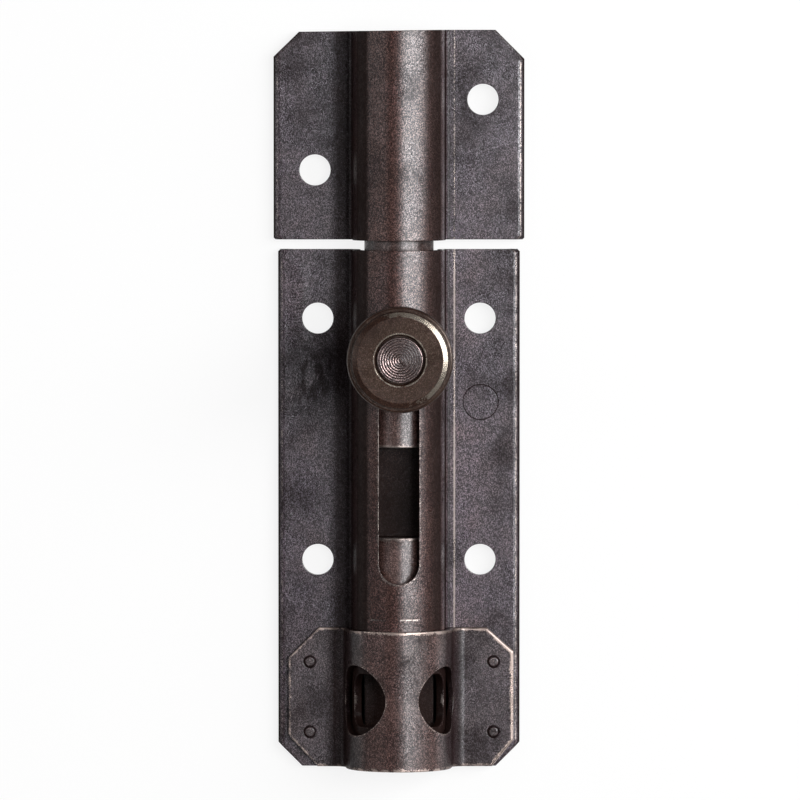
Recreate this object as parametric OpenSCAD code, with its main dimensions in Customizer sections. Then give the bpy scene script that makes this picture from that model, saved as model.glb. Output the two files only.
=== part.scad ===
// Slide bolt with a padlock cover. A knob draws a round bolt along a pressed steel barrel and
// out of its keeper. The bolt has two notches, so that a padlock's shackle, put through the
// riveted cover, holds it both when it is thrown and when it is drawn.
//
// Millimetres. The door's face is z = 0, +Z points away from the door and +Y runs towards the
// keeper. The origin is in the door's face, at the middle of the four screws of the body.
// The model stands as the bolt is thrown.

/* [Bolt] */
// Diameter of the round bolt
bolt_d = 10; // [9:0.5:11]
// Distance from the bolt's tip, when it is thrown, to the upper end of the keeper
tip_inset = 2.3; // [1:0.1:8]
// Chamfer round both ends of the bolt
bolt_chamfer = 0.8; // [0.3:0.1:1.5]
// Gap between the bolt and the door
bolt_lift = 0.3; // [0.2:0.1:0.8]
// Distance from the bolt's tail to the lower end of the barrel
tail_inset = 0.4; // [0:0.1:1]
// How far the knob draws the bolt back
travel = 30; // [28:0.5:31]
// Length of each padlock notch along the bolt
notch_len = 13; // [11:0.5:14]
// Depth of each padlock notch
notch_depth = 4; // [3:0.1:4.5]

/* [Barrel and flanges] */
// Thickness of the sheet that the body and the keeper are pressed from
sheet_t = 1.2; // [1:0.1:1.5]
// Play between the bolt and the inside of the barrel
barrel_play = 0.55; // [0.3:0.05:0.8]
// Height of the flanges' top above the door
flange_top = 2.2; // [1.8:0.1:2.6]
// Thickness of the long edges where they are turned down to the door
lip_t = 1; // [0.6:0.1:1.2]
// Rounding of the turned-down edges
edge_r = 1; // [0.4:0.1:1.4]
// Radius of the bend between the barrel and a flange
foot_r = 1.5; // [0.8:0.1:1.8]
// Diameter of the screw holes
screw_d = 4.5; // [3.5:0.1:5]

/* [Body] */
// Width of the body
body_w = 35; // [34:0.5:40]
// Length of the body
body_len = 75; // [75:0.5:80]
// Length that each lower corner loses along both of its edges
body_cut = 3.45; // [2:0.05:4]
// Distance between the screw columns
body_screw_dx = 23.5; // [22:0.5:26]
// Distance between the screw rows
body_screw_dy = 35; // [32:0.5:36]
// Distance from the upper screw row to the upper edge
body_screw_edge = 10; // [6:0.5:11]
// Gap between the knob's pin and each side of the slot
slot_side_gap = 0.4; // [0.3:0.05:0.6]
// Gap that is left between the pin and the slot's end at either end of the travel
slot_end_gap = 0.2; // [0.1:0.05:0.4]
// Length along the barrel of the padlock window
window_len = 7.6; // [6:0.1:9]
// Angle from the crown to each end of the padlock window
window_angle = 72; // [66:1:76]
// Corner radius of the padlock window
window_r = 2; // [1:0.1:2.5]

/* [Padlock cover] */
// Thickness of the cover's sheet
cover_t = 0.9; // [0.7:0.05:1.2]
// Width of the cover
cover_w = 32.6; // [31:0.1:33]
// Length of the cover
cover_len = 20.2; // [19:0.1:21]
// Gap between the barrel and the inside of the cover
cover_gap = 0.05; // [0.03:0.01:0.1]
// Radius of the bend between the cover's arch and its flanges
cover_foot_r = 1.9; // [1.6:0.1:2]
// Lengths across the cover that its corners lose: upper left, upper right, lower left, lower right
cover_cut_x = [4.4, 3.9, 4.2, 3.1];
// Lengths along the cover that its corners lose, in the same order
cover_cut_y = [4.4, 3.5, 4.5, 3.8];
// Diameter of the left padlock hole
left_hole_d = 10.1; // [8.5:0.1:10.5]
// Angle from the crown to the middle of the left padlock hole
left_hole_angle = 56; // [54:1:60]
// Diameter of the right padlock hole
right_hole_d = 9.7; // [8.5:0.1:10.5]
// Angle from the crown to the middle of the right padlock hole
right_hole_angle = 61; // [54:1:64]

/* [Cover rivets] */
// Diameter of the rivets
rivet_d = 1.45; // [1.2:0.05:1.8]
// Distance between the rivet columns
rivet_dx = 26.6; // [26:0.1:27.4]
// Distance between the rivet rows
rivet_dy = 10.2; // [8:0.1:11]
// Diameter of the rivet heads under the flanges
rivet_head_d = 2.6; // [2.2:0.1:3]
// Height of the rivet heads under the flanges
rivet_head_h = 0.6; // [0.4:0.1:0.8]
// Diameter of the dimple round each rivet's upper end
dimple_d = 2; // [1.9:0.1:2.4]
// Depth of the dimple round each rivet's upper end
dimple_depth = 0.3; // [0.2:0.05:0.5]

/* [Keeper] */
// Width of the keeper
keeper_w = 36.3; // [35:0.1:40]
// Length of the keeper
keeper_len = 30.3; // [29:0.1:34]
// Gap between the body and the keeper
keeper_gap = 1.4; // [1:0.1:3]
// Length that the keeper's upper left and upper right corners lose along both of their edges
keeper_cuts = [3.7, 4.2];
// Distance across between the keeper's two screws, which stand on a diagonal
keeper_screw_dx = 24.3; // [23:0.1:26]
// Distance along between the keeper's two screws
keeper_screw_dy = 10.2; // [0:0.1:16]

/* [Knob] */
// Distance from the upper edge of the body to the knob's axis
knob_edge = 15.3; // [14:0.1:18]
// Gap between the knob and the barrel's crown
knob_gap = 0.4; // [0.3:0.1:1]
// Height of the knob
knob_h = 9.6; // [8:0.1:14]
// Diameter of the knob's rim
rim_d = 15.2; // [14:0.1:16]
// Thickness of the knob's rim
rim_h = 2.4; // [1.5:0.1:3]
// Rounding of the rim's edges
rim_r = 0.4; // [0.2:0.1:0.8]
// Diameter of the raised face
face_d = 13.8; // [12:0.1:13.8]
// Height of the raised face above the rim
face_h = 1; // [0.8:0.1:1.5]
// Rounding of the raised face's edge
face_r = 0.75; // [0.3:0.05:0.8]
// Diameter of the waist
waist_d = 8.4; // [8:0.1:9.4]
// Radius of the flare that runs from the waist out to the rim
flare_r = 2.6; // [1:0.1:2.8]
// Diameter of the knob's foot
knob_foot_d = 10; // [9.6:0.1:12]
// Height of the knob's foot
knob_foot_h = 1.2; // [0.6:0.1:2]

/* [Knob pin] */
// Diameter of the pin's shoulder in the slot
pin_d = 5; // [4.6:0.1:5.4]
// Diameter of the pin inside the knob
pin_neck_d = 4.2; // [3:0.1:4.4]
// Diameter of the pin's head in the knob's face
pin_head_d = 6.5; // [6:0.1:7]
// Height of the pin's head
pin_head_h = 1.5; // [1:0.1:2.5]
// Width of the ring groove between the pin's head and the knob
ring_gap = 0.25; // [0.15:0.05:0.4]
// Diameter of the pin in the bolt
spigot_d = 4; // [3:0.1:4.2]
// Length of the pin in the bolt
spigot_len = 5.5; // [4:0.1:6.5]

/* [Hidden] */
$fn = 96;

// Radial clearance of pieces that are pressed or riveted together
seat_gap = 0.02;
// Depth of the spot face under the pin's shoulder, below where it first touches all round
spot_depth = 0.1;
// How far a cut runs past the face that it opens
past = 1;
// How far the fills in the bends reach into the shapes that they join
lap = 0.1;
// Longer than any piece, for shapes without a limit on their far side
far = 100;

// Barrel, shared by the body and the keeper
bolt_r = bolt_d / 2;
axis_z = bolt_lift + bolt_r;
barrel_ri = bolt_r + barrel_play;
barrel_ro = barrel_ri + sheet_t;
crown_z = axis_z + barrel_ro;
flange_under = flange_top - sheet_t;

// Body
body_high = body_screw_dy / 2 + body_screw_edge;
body_low = body_high - body_len;

// Padlock cover: its middle is also the middle of the window and of the padlock's way
cover_low = body_low;
cover_high = cover_low + cover_len;
lock_y = (cover_low + cover_high) / 2;
cover_ri = barrel_ro + cover_gap;
cover_ro = cover_ri + cover_t;
cover_top = flange_top + cover_t;

// Keeper
keeper_low = body_high + keeper_gap;
keeper_high = keeper_low + keeper_len;
keeper_mid = (keeper_low + keeper_high) / 2;

// Bolt
tail_y = body_low + tail_inset;
bolt_len = keeper_high - tip_inset - tail_y;
notch_floor = axis_z + bolt_r - notch_depth;

// Knob and its pin
knob_y = body_high - knob_edge;
knob_low = crown_z + knob_gap;
knob_top = knob_low + knob_h;
rim_top = knob_top - face_h;
rim_low = rim_top - rim_h;
slot_w = pin_d + 2 * slot_side_gap;
spot_r = pin_d / 2 + seat_gap;
spot_z = axis_z + sqrt(pow(bolt_r, 2) - pow(spot_r, 2)) - spot_depth;

STEEL = [0.20, 0.165, 0.165];
COVER = [0.25, 0.20, 0.195];
BRONZE = [0.36, 0.28, 0.25];
BARE = [0.58, 0.54, 0.52];

// Extrudes an XZ outline from y_low to y_high
module along(y_low, y_high) {
    translate([0, y_high, 0]) rotate([90, 0, 0]) linear_extrude(height = y_high - y_low) children();
}

// XZ outline of an arch round the bolt's axis: a round crown, straight legs that stand on
// bottom, and a foot on both sides that curves out to a flange at the height base
module arch_outline(r, base, bend_r, bottom) {
    fill = bend_r + lap;
    difference() {
        translate([0, axis_z]) circle(r = r);
        translate([-r, bottom - 2 * r]) square(2 * r);
    }
    translate([-r, bottom]) square([2 * r, axis_z - bottom]);
    for (side = [-1, 1]) difference() {
        translate([side * (r - lap + fill / 2) - fill / 2, base - lap]) square(fill);
        translate([side * (r + bend_r), base + bend_r]) circle(r = bend_r);
    }
}

// XZ outline of a slab from z = bottom to top whose two ends stand at x_low and x_high, with
// the upper edge of the ends rounded
module slab_outline(x_low, x_high, bottom, top, round_r) {
    translate([x_low, bottom]) square([x_high - x_low, top - round_r - bottom]);
    translate([x_low + round_r, bottom]) square([x_high - x_low - 2 * round_r, top - bottom]);
    if (round_r > 0) for (x = [x_low + round_r, x_high - round_r])
        translate([x, top - round_r]) circle(r = round_r);
}

// A slab that is without limit except at one of a plate's corners, where it ends at the cut
module corner_slab(w, cut, bottom, top, round_r, inset) {
    translate([cut[0] * w / 2, cut[1] - cut[2] * cut[3], 0]) rotate([0, 0, atan2(cut[2], cut[0])])
        along(-far, far) slab_outline(-far, -inset, bottom, top, round_r);
}

// A plate's flanges as one block from z = bottom to top. Each of its two corner cuts is
// [side, y of the short edge, end, leg]. The long sides and the cuts move in by inset, and the
// short edges move out by run.
module flange_block(w, y_low, y_high, cuts, bottom, top, round_r, inset, run) {
    intersection() {
        along(y_low - run, y_high + run)
            slab_outline(inset - w / 2, w / 2 - inset, bottom, top, round_r);
        corner_slab(w, cuts[0], bottom, top, round_r, inset);
        corner_slab(w, cuts[1], bottom, top, round_r, inset);
    }
}

// A plate pressed from sheet: a barrel between two flanges. Its long sides and its cut corners
// are turned down to the door, and its short edges are left as they were sheared.
module pressed_plate(w, y_low, y_high, cuts) {
    difference() {
        union() {
            flange_block(w, y_low, y_high, cuts, 0, flange_top, edge_r, 0, 0);
            along(y_low, y_high) arch_outline(barrel_ro, flange_top, foot_r, 0);
        }
        flange_block(w, y_low, y_high, cuts, -past, flange_under, 0, lip_t, past);
        along(y_low - past, y_high + past)
            arch_outline(barrel_ri, flange_under, foot_r + sheet_t, -past);
    }
}

// A screw hole through a flange
module screw_hole(x, y) {
    translate([x, y, 0]) cylinder(d = screw_d, h = flange_top + past);
}

// Turns its children about the bolt's axis, so that their +Z points out of the barrel at an
// angle from the crown, positive towards +X
module radial(angle, y) {
    translate([0, y, axis_z]) rotate([0, angle, 0]) children();
}

// One end of the padlock window: a punch with two rounded corners
module window_end(side) {
    turn = window_angle - asin(window_r / barrel_ro);
    radial(side * turn, lock_y) {
        translate([-window_r, -window_len / 2, 0]) cube([window_r, window_len, 2 * barrel_ro]);
        translate([-window_r, window_r - window_len / 2, 0])
            cube([2 * window_r, window_len - 2 * window_r, 2 * barrel_ro]);
        for (end = [-1, 1]) translate([0, end * (window_len / 2 - window_r), 0])
            cylinder(r = window_r, h = 2 * barrel_ro);
    }
}

// The padlock window across the barrel: both ends and the sector between them
module padlock_window() {
    turn = window_angle - asin(window_r / barrel_ro);
    for (side = [-1, 1]) window_end(side);
    reach = 2 * barrel_ro;
    along(lock_y - window_len / 2, lock_y + window_len / 2)
        polygon([[0, axis_z], [-reach * sin(turn), axis_z + reach * cos(turn)],
                 [0, axis_z + 2 * reach], [reach * sin(turn), axis_z + reach * cos(turn)]]);
}

// The slot that the knob's pin runs in, through the crown only
module pin_slot() {
    high = knob_y + pin_d / 2 + slot_end_gap - slot_w / 2;
    low = knob_y - travel - pin_d / 2 - slot_end_gap + slot_w / 2;
    translate([-slot_w / 2, low, axis_z]) cube([slot_w, high - low, barrel_ro + past]);
    for (y = [low, high]) translate([0, y, axis_z]) cylinder(d = slot_w, h = barrel_ro + past);
}

// Barrel and flanges in one pressing, with the slot, the padlock window and the rivet holes
module body_plate() {
    color(STEEL) difference() {
        pressed_plate(body_w, body_low, body_high,
                      [for (side = [-1, 1]) [side, body_low, -1, body_cut]]);
        for (x = [-1, 1], y = [-1, 1]) screw_hole(x * body_screw_dx / 2, y * body_screw_dy / 2);
        pin_slot();
        padlock_window();
        at_rivets() cylinder(d = rivet_d + 2 * seat_gap, h = cover_top + past);
    }
}

// Puts its children at the four rivets
module at_rivets() {
    for (x = [-1, 1], y = [-1, 1]) translate([x * rivet_dx / 2, lock_y + y * rivet_dy / 2, 0])
        children();
}

// One padlock hole through the cover's arch only
module padlock_hole(angle, d) {
    radial(angle, lock_y) translate([0, 0, barrel_ro - 1]) cylinder(d = d, h = far / 10);
}

// Outline of the cover's flanges with its four corner cuts, clockwise from the upper left
function cover_outline(x, cx, cy) = [
    [-x + cx[0], cover_high], [x - cx[1], cover_high], [x, cover_high - cy[1]],
    [x, cover_low + cy[3]], [x - cx[3], cover_low], [-x + cx[2], cover_low],
    [-x, cover_low + cy[2]], [-x, cover_high - cy[0]]
];

// The arched cover over the barrel's lower end, whose two holes take the padlock's shackle
module padlock_cover() {
    color(COVER) difference() {
        union() {
            translate([0, 0, flange_top]) linear_extrude(height = cover_t)
                polygon(cover_outline(cover_w / 2, cover_cut_x, cover_cut_y));
            along(cover_low, cover_high) arch_outline(cover_ro, cover_top, cover_foot_r, flange_top);
        }
        along(cover_low - past, cover_high + past)
            arch_outline(cover_ri, flange_top, cover_foot_r + cover_t, flange_top - past);
        padlock_hole(-left_hole_angle, left_hole_d);
        padlock_hole(right_hole_angle, right_hole_d);
        at_rivets() {
            cylinder(d = rivet_d + 2 * seat_gap, h = cover_top + past);
            translate([0, 0, cover_top - dimple_depth])
                cylinder(d1 = rivet_d + 2 * seat_gap, d2 = dimple_d, h = dimple_depth);
        }
    }
}

// Four rivets with a head under the body's flange and an upset end in the cover's dimple
module cover_rivets() {
    color(STEEL) at_rivets() {
        translate([0, 0, flange_under - rivet_head_h]) cylinder(d = rivet_head_d, h = rivet_head_h);
        translate([0, 0, flange_under]) cylinder(d = rivet_d, h = cover_top - flange_under);
    }
}

// The keeper: a short pressed plate with cut upper corners and two screws on a diagonal
module keeper() {
    color(STEEL) difference() {
        pressed_plate(keeper_w, keeper_low, keeper_high,
                      [for (i = [0, 1]) [2 * i - 1, keeper_high, 1, keeper_cuts[i]]]);
        for (side = [-1, 1])
            screw_hole(side * keeper_screw_dx / 2, keeper_mid + side * keeper_screw_dy / 2);
    }
}

// Space that a padlock notch with its middle at y takes out of the bolt
module notch(y) {
    translate([-bolt_d, y - notch_len / 2, notch_floor]) cube([2 * bolt_d, notch_len, bolt_d]);
}

// The round bolt: one notch lies under the window when it is thrown, the other when it is drawn
module bolt_rod() {
    color(BRONZE) difference() {
        translate([0, tail_y, axis_z]) rotate([-90, 0, 0]) {
            cylinder(r1 = bolt_r - bolt_chamfer, r2 = bolt_r, h = bolt_chamfer);
            translate([0, 0, bolt_chamfer]) cylinder(r = bolt_r, h = bolt_len - 2 * bolt_chamfer);
            translate([0, 0, bolt_len - bolt_chamfer])
                cylinder(r1 = bolt_r, r2 = bolt_r - bolt_chamfer, h = bolt_chamfer);
        }
        for (y = [lock_y, lock_y + travel]) notch(y);
        translate([0, knob_y, spot_z]) cylinder(r = spot_r, h = bolt_r);
        translate([0, knob_y, spot_z - spigot_len - seat_gap])
            cylinder(d = spigot_d + 2 * seat_gap, h = bolt_d);
    }
}

// Half outline of the knob, standing on y = 0: foot, waist, flare, rim and raised face
module knob_outline() {
    rim = rim_d / 2;
    waist = waist_d / 2;
    low = rim_low - knob_low;
    high = rim_top - knob_low;
    square([knob_foot_d / 2, knob_foot_h]);
    square([waist, high]);
    difference() {
        translate([0, low - flare_r]) square([waist + flare_r, flare_r]);
        translate([waist + flare_r, low - flare_r]) circle(r = flare_r);
    }
    translate([0, low]) square([rim - rim_r, rim_h]);
    translate([0, low + rim_r]) square([rim, rim_h - 2 * rim_r]);
    for (y = [low + rim_r, high - rim_r]) translate([rim - rim_r, y]) circle(r = rim_r);
    translate([0, high]) square([face_d / 2, face_h - face_r]);
    translate([0, high]) square([face_d / 2 - face_r, face_h]);
    translate([face_d / 2 - face_r, knob_h - face_r]) circle(r = face_r);
}

// The turned knob, bored for its pin and sunk for the pin's head
module knob() {
    sink_r = pin_head_d / 2 + ring_gap;
    color(BRONZE) translate([0, knob_y, knob_low]) difference() {
        rotate_extrude() knob_outline();
        translate([0, 0, -past]) cylinder(d = pin_neck_d + 2 * seat_gap, h = knob_h + 2 * past);
        translate([0, 0, knob_h - pin_head_h]) cylinder(r = sink_r, h = pin_head_h + past);
        translate([0, 0, knob_h - ring_gap]) cylinder(r1 = sink_r, r2 = sink_r + ring_gap, h = ring_gap);
    }
}

// The pin that holds the knob: a spigot in the bolt, a shoulder in the slot and a head on top
module knob_pin() {
    color(BARE) translate([0, knob_y, 0]) {
        translate([0, 0, spot_z - spigot_len]) cylinder(d = spigot_d, h = spigot_len);
        translate([0, 0, spot_z]) cylinder(d = pin_d, h = knob_low - spot_z);
        translate([0, 0, knob_low]) cylinder(d = pin_neck_d, h = knob_h - pin_head_h);
        translate([0, 0, knob_top - pin_head_h]) cylinder(d = pin_head_d, h = pin_head_h);
    }
}

body_plate();
padlock_cover();
cover_rivets();
keeper();
bolt_rod();
knob();
knob_pin();
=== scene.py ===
"""Looks of a slide bolt with a padlock cover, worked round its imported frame.

Each piece is a surface computed with numpy, in millimetres and in the frame's own axes: +X to
the right, +Y along the bolt towards the keeper and +Z out of the door. It goes into its mesh in
metres and rides on the body that carries it.
"""

import sys

import logging
import math
from dataclasses import dataclass, field
from enum import Enum
from typing import Any, Callable

import bpy
import numpy as np
from mathutils import Matrix, Vector
from mathutils.geometry import delaunay_2d_cdt

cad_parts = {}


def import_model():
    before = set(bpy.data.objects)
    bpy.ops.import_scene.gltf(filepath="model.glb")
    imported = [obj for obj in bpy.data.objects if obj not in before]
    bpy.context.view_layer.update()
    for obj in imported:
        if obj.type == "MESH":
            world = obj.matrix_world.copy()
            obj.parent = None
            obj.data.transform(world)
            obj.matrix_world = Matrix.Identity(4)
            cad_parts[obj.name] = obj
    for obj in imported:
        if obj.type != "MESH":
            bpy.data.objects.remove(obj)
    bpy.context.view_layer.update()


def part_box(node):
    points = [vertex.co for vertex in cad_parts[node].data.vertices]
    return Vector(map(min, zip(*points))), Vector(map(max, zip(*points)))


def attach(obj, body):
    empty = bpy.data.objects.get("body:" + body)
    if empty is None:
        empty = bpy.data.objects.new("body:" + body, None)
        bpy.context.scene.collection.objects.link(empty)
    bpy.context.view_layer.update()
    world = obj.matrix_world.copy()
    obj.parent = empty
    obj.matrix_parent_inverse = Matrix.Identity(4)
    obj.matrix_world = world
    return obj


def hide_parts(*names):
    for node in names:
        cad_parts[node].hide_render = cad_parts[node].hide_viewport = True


MM = 0.001  # a millimetre in metres
WELD = 1e-5  # millimetres within which two points are one
FLAT_AREA = 1e-8  # square millimetres below which a triangle is no more than a line
WEAR_REACH = 0.5  # millimetres that wear reaches in from an edge
SEED_GAP = 0.2  # millimetres that keep a face's inner points clear of its edges
RING_GAP = 0.3  # millimetres that keep the rest of them clear of the rings along an edge
WEAR_AND_HIGHLIGHT = (0.85, 0.28, 0.12)  # wear of an edge all round, and a painted highlight more to the right and more at the top, towards the key light
FULL_SHADE = -1.0  # wear at which full painted shade covers the plating
NUDGE = 1e-3  # millimetres of the small steps by which a slope is measured
PUNCH_SWING = math.radians(85)  # lean to either side of a punch within which it meets the crown
PUNCH_PLACES = 8001  # places on the section among which a punch's cut is found
QUARTER = math.pi / 2
LOG = logging.getLogger("slide_bolt")
Array = np.ndarray


class Body(Enum):
    """The two rigid bodies of the frame."""

    BARREL = "barrel"
    BOLT = "bolt"


class Slot(Enum):
    """The record's material slots."""

    PLATE = "plate_steel"
    COVER = "cover_steel"
    RIVET = "rivet_steel"
    BOLT = "bolt_steel"
    KNOB = "knob_steel"
    PIN = "pin_steel"


# Plane geometry


def columns(*parts: Array | float) -> Array:
    """Lays coordinates side by side along a last axis, each spread to the shape of them all."""
    return np.stack(np.broadcast_arrays(*parts), axis=-1)


def unit(vectors: Array) -> Array:
    """Each vector divided by its length."""
    return vectors / np.linalg.norm(vectors, axis=-1, keepdims=True)


def to_left(vectors: Array) -> Array:
    """Rows of x and y, each turned a quarter to its left."""
    return columns(-vectors[:, 1], vectors[:, 0])


def all_round(count: int) -> Array:
    """Angles of so many equal steps round a circle, in radians."""
    return np.linspace(0, 2 * np.pi, count, endpoint=False)


def turned(vector: Array, angle: Array) -> Array:
    """Turns one plane vector by each of the angles.

    Args:
        vector: x and y.
        angle: The angles in radians, anticlockwise.

    Returns:
        One row for each angle.
    """
    c, s = np.cos(angle), np.sin(angle)
    return columns(c * vector[0] - s * vector[1], s * vector[0] + c * vector[1])


def rounded_path(corners: list[tuple[float, ...]], side: int, steps: int = 0,
                 fewest: int = 5, for_each_mm: float = 6) -> tuple[Array, Array]:
    """Rounds the corners of an open path, and gives the way out of the metal along it.

    Each corner becomes an arc that touches both of its legs. The arc's centre stands off both
    legs by the radius, and the direction turns evenly from the first leg's to the second's.

    Args:
        corners: Rows of two coordinates and a radius. The two ends need no radius.
        side: 1 if the air lies to the left of the way along the path, -1 if to the right.
        steps: Points in each arc, or 0 for more of them on a larger radius.
        fewest: Points in the smallest arc, where steps is 0.
        for_each_mm: Points more for each millimetre of radius, where steps is 0.

    Returns:
        The points, and a unit vector out of the metal at each of them.
    """
    xy = np.array([corner[:2] for corner in corners], float)
    leg = unit(np.diff(xy, axis=0))
    left = to_left(leg)
    points, out = [xy[:1]], [side * left[:1]]
    for i in range(1, len(corners) - 1):
        turn = math.atan2(float(leg[i - 1] @ left[i] * -1), float(leg[i - 1] @ leg[i]))
        radius = corners[i][2]
        start = xy[i] - radius * math.tan(abs(turn) / 2) * leg[i - 1]
        centre = start + math.copysign(radius, turn) * left[i - 1]
        angle = np.linspace(0, turn, steps or fewest + round(for_each_mm * radius))
        points.append(centre + turned(start - centre, angle))
        out.append(side * turned(left[i - 1], angle))
    points.append(xy[-1:])
    out.append(side * left[-1:])
    return np.concatenate(points), np.concatenate(out)


def mitres(loop: Array, solid_inside: bool) -> Array:
    """Vectors from a closed loop into the metal, whose share across both edges is 1.

    With n and m the unit normals of the two edges at a corner, the vector is
    (n + m) / (1 + n . m), so a step along it moves both edges in by that step.
    """
    after = np.roll(loop, -1, axis=0)
    area = float(np.sum(loop[:, 0] * after[:, 1] - loop[:, 1] * after[:, 0]))
    sign = math.copysign(1, area) * (1 if solid_inside else -1)
    normal = sign * to_left(unit(after - loop))
    before = np.roll(normal, 1, axis=0)
    return (before + normal) / (1 + np.sum(before * normal, axis=1))[:, None]


def is_inside(points: Array, loop: Array) -> Array:
    """Whether each point lies inside a closed loop: a ray from it crosses the loop oddly often."""
    a, b = loop, np.roll(loop, -1, axis=0)
    y = points[:, 1][:, None]
    spans = (a[:, 1] > y) != (b[:, 1] > y)
    rise = np.where(b[:, 1] == a[:, 1], 1, b[:, 1] - a[:, 1])
    cross = a[:, 0] + (y - a[:, 1]) * (b[:, 0] - a[:, 0]) / rise
    return np.sum(spans & (points[:, 0][:, None] < cross), axis=1) % 2 == 1


def distance_to(points: Array, loop: Array) -> Array:
    """Distance from each point to the nearest edge of a closed loop."""
    a, edge = loop, np.roll(loop, -1, axis=0) - loop
    share = np.einsum("pek,ek->pe", points[:, None] - a, edge) / np.sum(edge**2, axis=1)
    foot = a + np.clip(share, 0, 1)[..., None] * edge
    return np.linalg.norm(points[:, None] - foot, axis=2).min(axis=1)


def triangulate(loops: list[Array], seeds: Array) -> Array:
    """Triangles inside the first loop and outside the others, through the seeds.

    Flat triangles are left out: they lie along straight edges, outside the face.

    Returns:
        Rows of three indices into the loops' points, one loop after another, and the seeds.
    """
    points = np.concatenate([*loops, seeds])
    edges, start = [], 0
    for loop in loops:
        index = np.arange(len(loop)) + start
        edges.append(columns(index, np.roll(index, -1)))
        start += len(loop)
    edges, whole_hull, nearest = np.concatenate(edges).tolist(), 0, 1e-7
    _, _, faces, origin, _, _ = delaunay_2d_cdt(points.tolist(), edges, [], whole_hull, nearest, True)
    home = np.array([ids[0] if ids else -1 for ids in origin])
    triangles = home[np.array(faces)]
    corner = points[triangles]
    side, other = corner[:, 1] - corner[:, 0], corner[:, 2] - corner[:, 0]
    area = np.abs(side[:, 0] * other[:, 1] - side[:, 1] * other[:, 0]) / 2
    middle = corner.mean(axis=1)
    kept = is_inside(middle, loops[0]) & (triangles >= 0).all(axis=1) & (area > FLAT_AREA)
    for hole in loops[1:]:
        kept &= ~is_inside(middle, hole)
    return triangles[kept]


def spread(low: float, high: float, step: float, tight: float = 0) -> Array:
    """Values from low to high at most step apart, with one more at tight from each end."""
    count = max(2, math.ceil((high - low) / step) + 1)
    values = np.linspace(low, high, count)
    return np.unique(np.concatenate([values, [low + tight, high - tight]])) if tight else values


# Meshes


class Patchwork:
    """Patches of points, normals and triangles that are welded into one closed mesh."""

    def __init__(self) -> None:
        """Starts with no patches."""
        self.points: list[Array] = []
        self.normals: list[Array] = []
        self.worn: list[Array] = []
        self.triangles: list[Array] = []
        self.count = 0

    def add(self, points: Array, normals: Array, triangles: Array, worn: Array | float = 0) -> None:
        """Adds one patch.

        Args:
            points: Rows of x, y and z in millimetres.
            normals: The way out of the metal at each point.
            triangles: Rows of three indices into points, in either order.
            worn: How rubbed each point is, from 0 to 1, painted highlights among it, or below 0, down to
                FULL_SHADE, how far a painted shade darkens it.
        """
        self.points.append(points)
        self.normals.append(normals)
        self.worn.append(np.broadcast_to(worn, len(points)))
        self.triangles.append(triangles + self.count)
        self.count += len(points)

    def band(self, rows: Array, normals: Array, closed: bool, worn: Array | float = 0) -> None:
        """Adds a grid of points, joined along its rows and from each row to the next.

        Args:
            rows: Points as rows, columns and x, y, z.
            normals: The way out of the metal at each point.
            closed: Whether the last column joins the first.
            worn: Wear, painted highlight and painted shade at each point, as rows and columns or anything
                that spreads to them.
        """
        height, width = rows.shape[:2]
        index = np.arange(height * width).reshape(height, width)
        if closed:
            index = np.concatenate([index, index[:, :1]], axis=1)
        a, b = index[:-1, :-1].ravel(), index[:-1, 1:].ravel()
        c, d = index[1:, 1:].ravel(), index[1:, :-1].ravel()
        triangles = np.concatenate([columns(a, b, c), columns(a, c, d)])
        worn = np.broadcast_to(worn, (height, width)).ravel()
        self.add(rows.reshape(-1, 3), normals.reshape(-1, 3), triangles, worn)

    def shape(self, move: Callable[[Array], Array]) -> None:
        """Moves every point, and turns the normals with the surface.

        A normal follows by the cofactors of the slope of the move: with a, b and c what the move
        makes of small steps along x, y and z, it is x (b x c) + y (c x a) + z (a x b).

        Args:
            move: Gives the new points for rows of points.
        """
        for i, points in enumerate(self.points):
            a, b, c = (move(points + step) - move(points - step) for step in np.eye(3) * NUDGE)
            x, y, z = self.normals[i].T[:, :, None]
            self.normals[i] = unit(x * np.cross(b, c) + y * np.cross(c, a) + z * np.cross(a, b))
            self.points[i] = move(points)

    def mesh(self, name: str) -> bpy.types.Mesh:
        """Welds points that lie together, turns every triangle outwards and makes the mesh.

        Two points are one where they agree to the weld distance. A triangle faces outwards where
        its own normal agrees with those of its corners.
        """
        points = np.concatenate(self.points)
        keys = np.round(points / WELD).astype(np.int64)
        _, first, same = np.unique(keys, axis=0, return_index=True, return_inverse=True)
        same = same.ravel()
        normals = np.zeros((len(first), 3))
        np.add.at(normals, same, np.concatenate(self.normals))
        normals /= np.maximum(np.linalg.norm(normals, axis=1), 1e-9)[:, None]
        worn = np.full(len(first), FULL_SHADE)
        np.maximum.at(worn, same, np.concatenate(self.worn))
        points = points[first]
        faces = same[np.concatenate(self.triangles)]
        a, b, c = faces.T
        faces = faces[(a != b) & (b != c) & (c != a)]
        corner = points[faces]
        own = np.cross(corner[:, 1] - corner[:, 0], corner[:, 2] - corner[:, 0])
        inward = np.sum(own * normals[faces].sum(axis=1), axis=1) < 0
        faces[inward] = faces[inward][:, ::-1]
        mesh = bpy.data.meshes.new(name)
        mesh.from_pydata((points * MM).tolist(), [], faces.tolist())
        mesh.shade_smooth()
        mesh.normals_split_custom_set_from_vertices(normals.tolist())
        # Wear, painted highlights and painted shade for the finish.
        mesh.attributes.new("worn", "FLOAT", "POINT").data.foreach_set("value", worn)
        edges = np.sort(faces[:, [[0, 1], [1, 2], [2, 0]]].reshape(-1, 2), axis=1)
        shared = np.unique(edges, axis=0, return_counts=True)[1]
        LOG.info("%s: %d triangles, %d open edges", name, len(faces), int(np.sum(shared != 2)))
        return mesh


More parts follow.
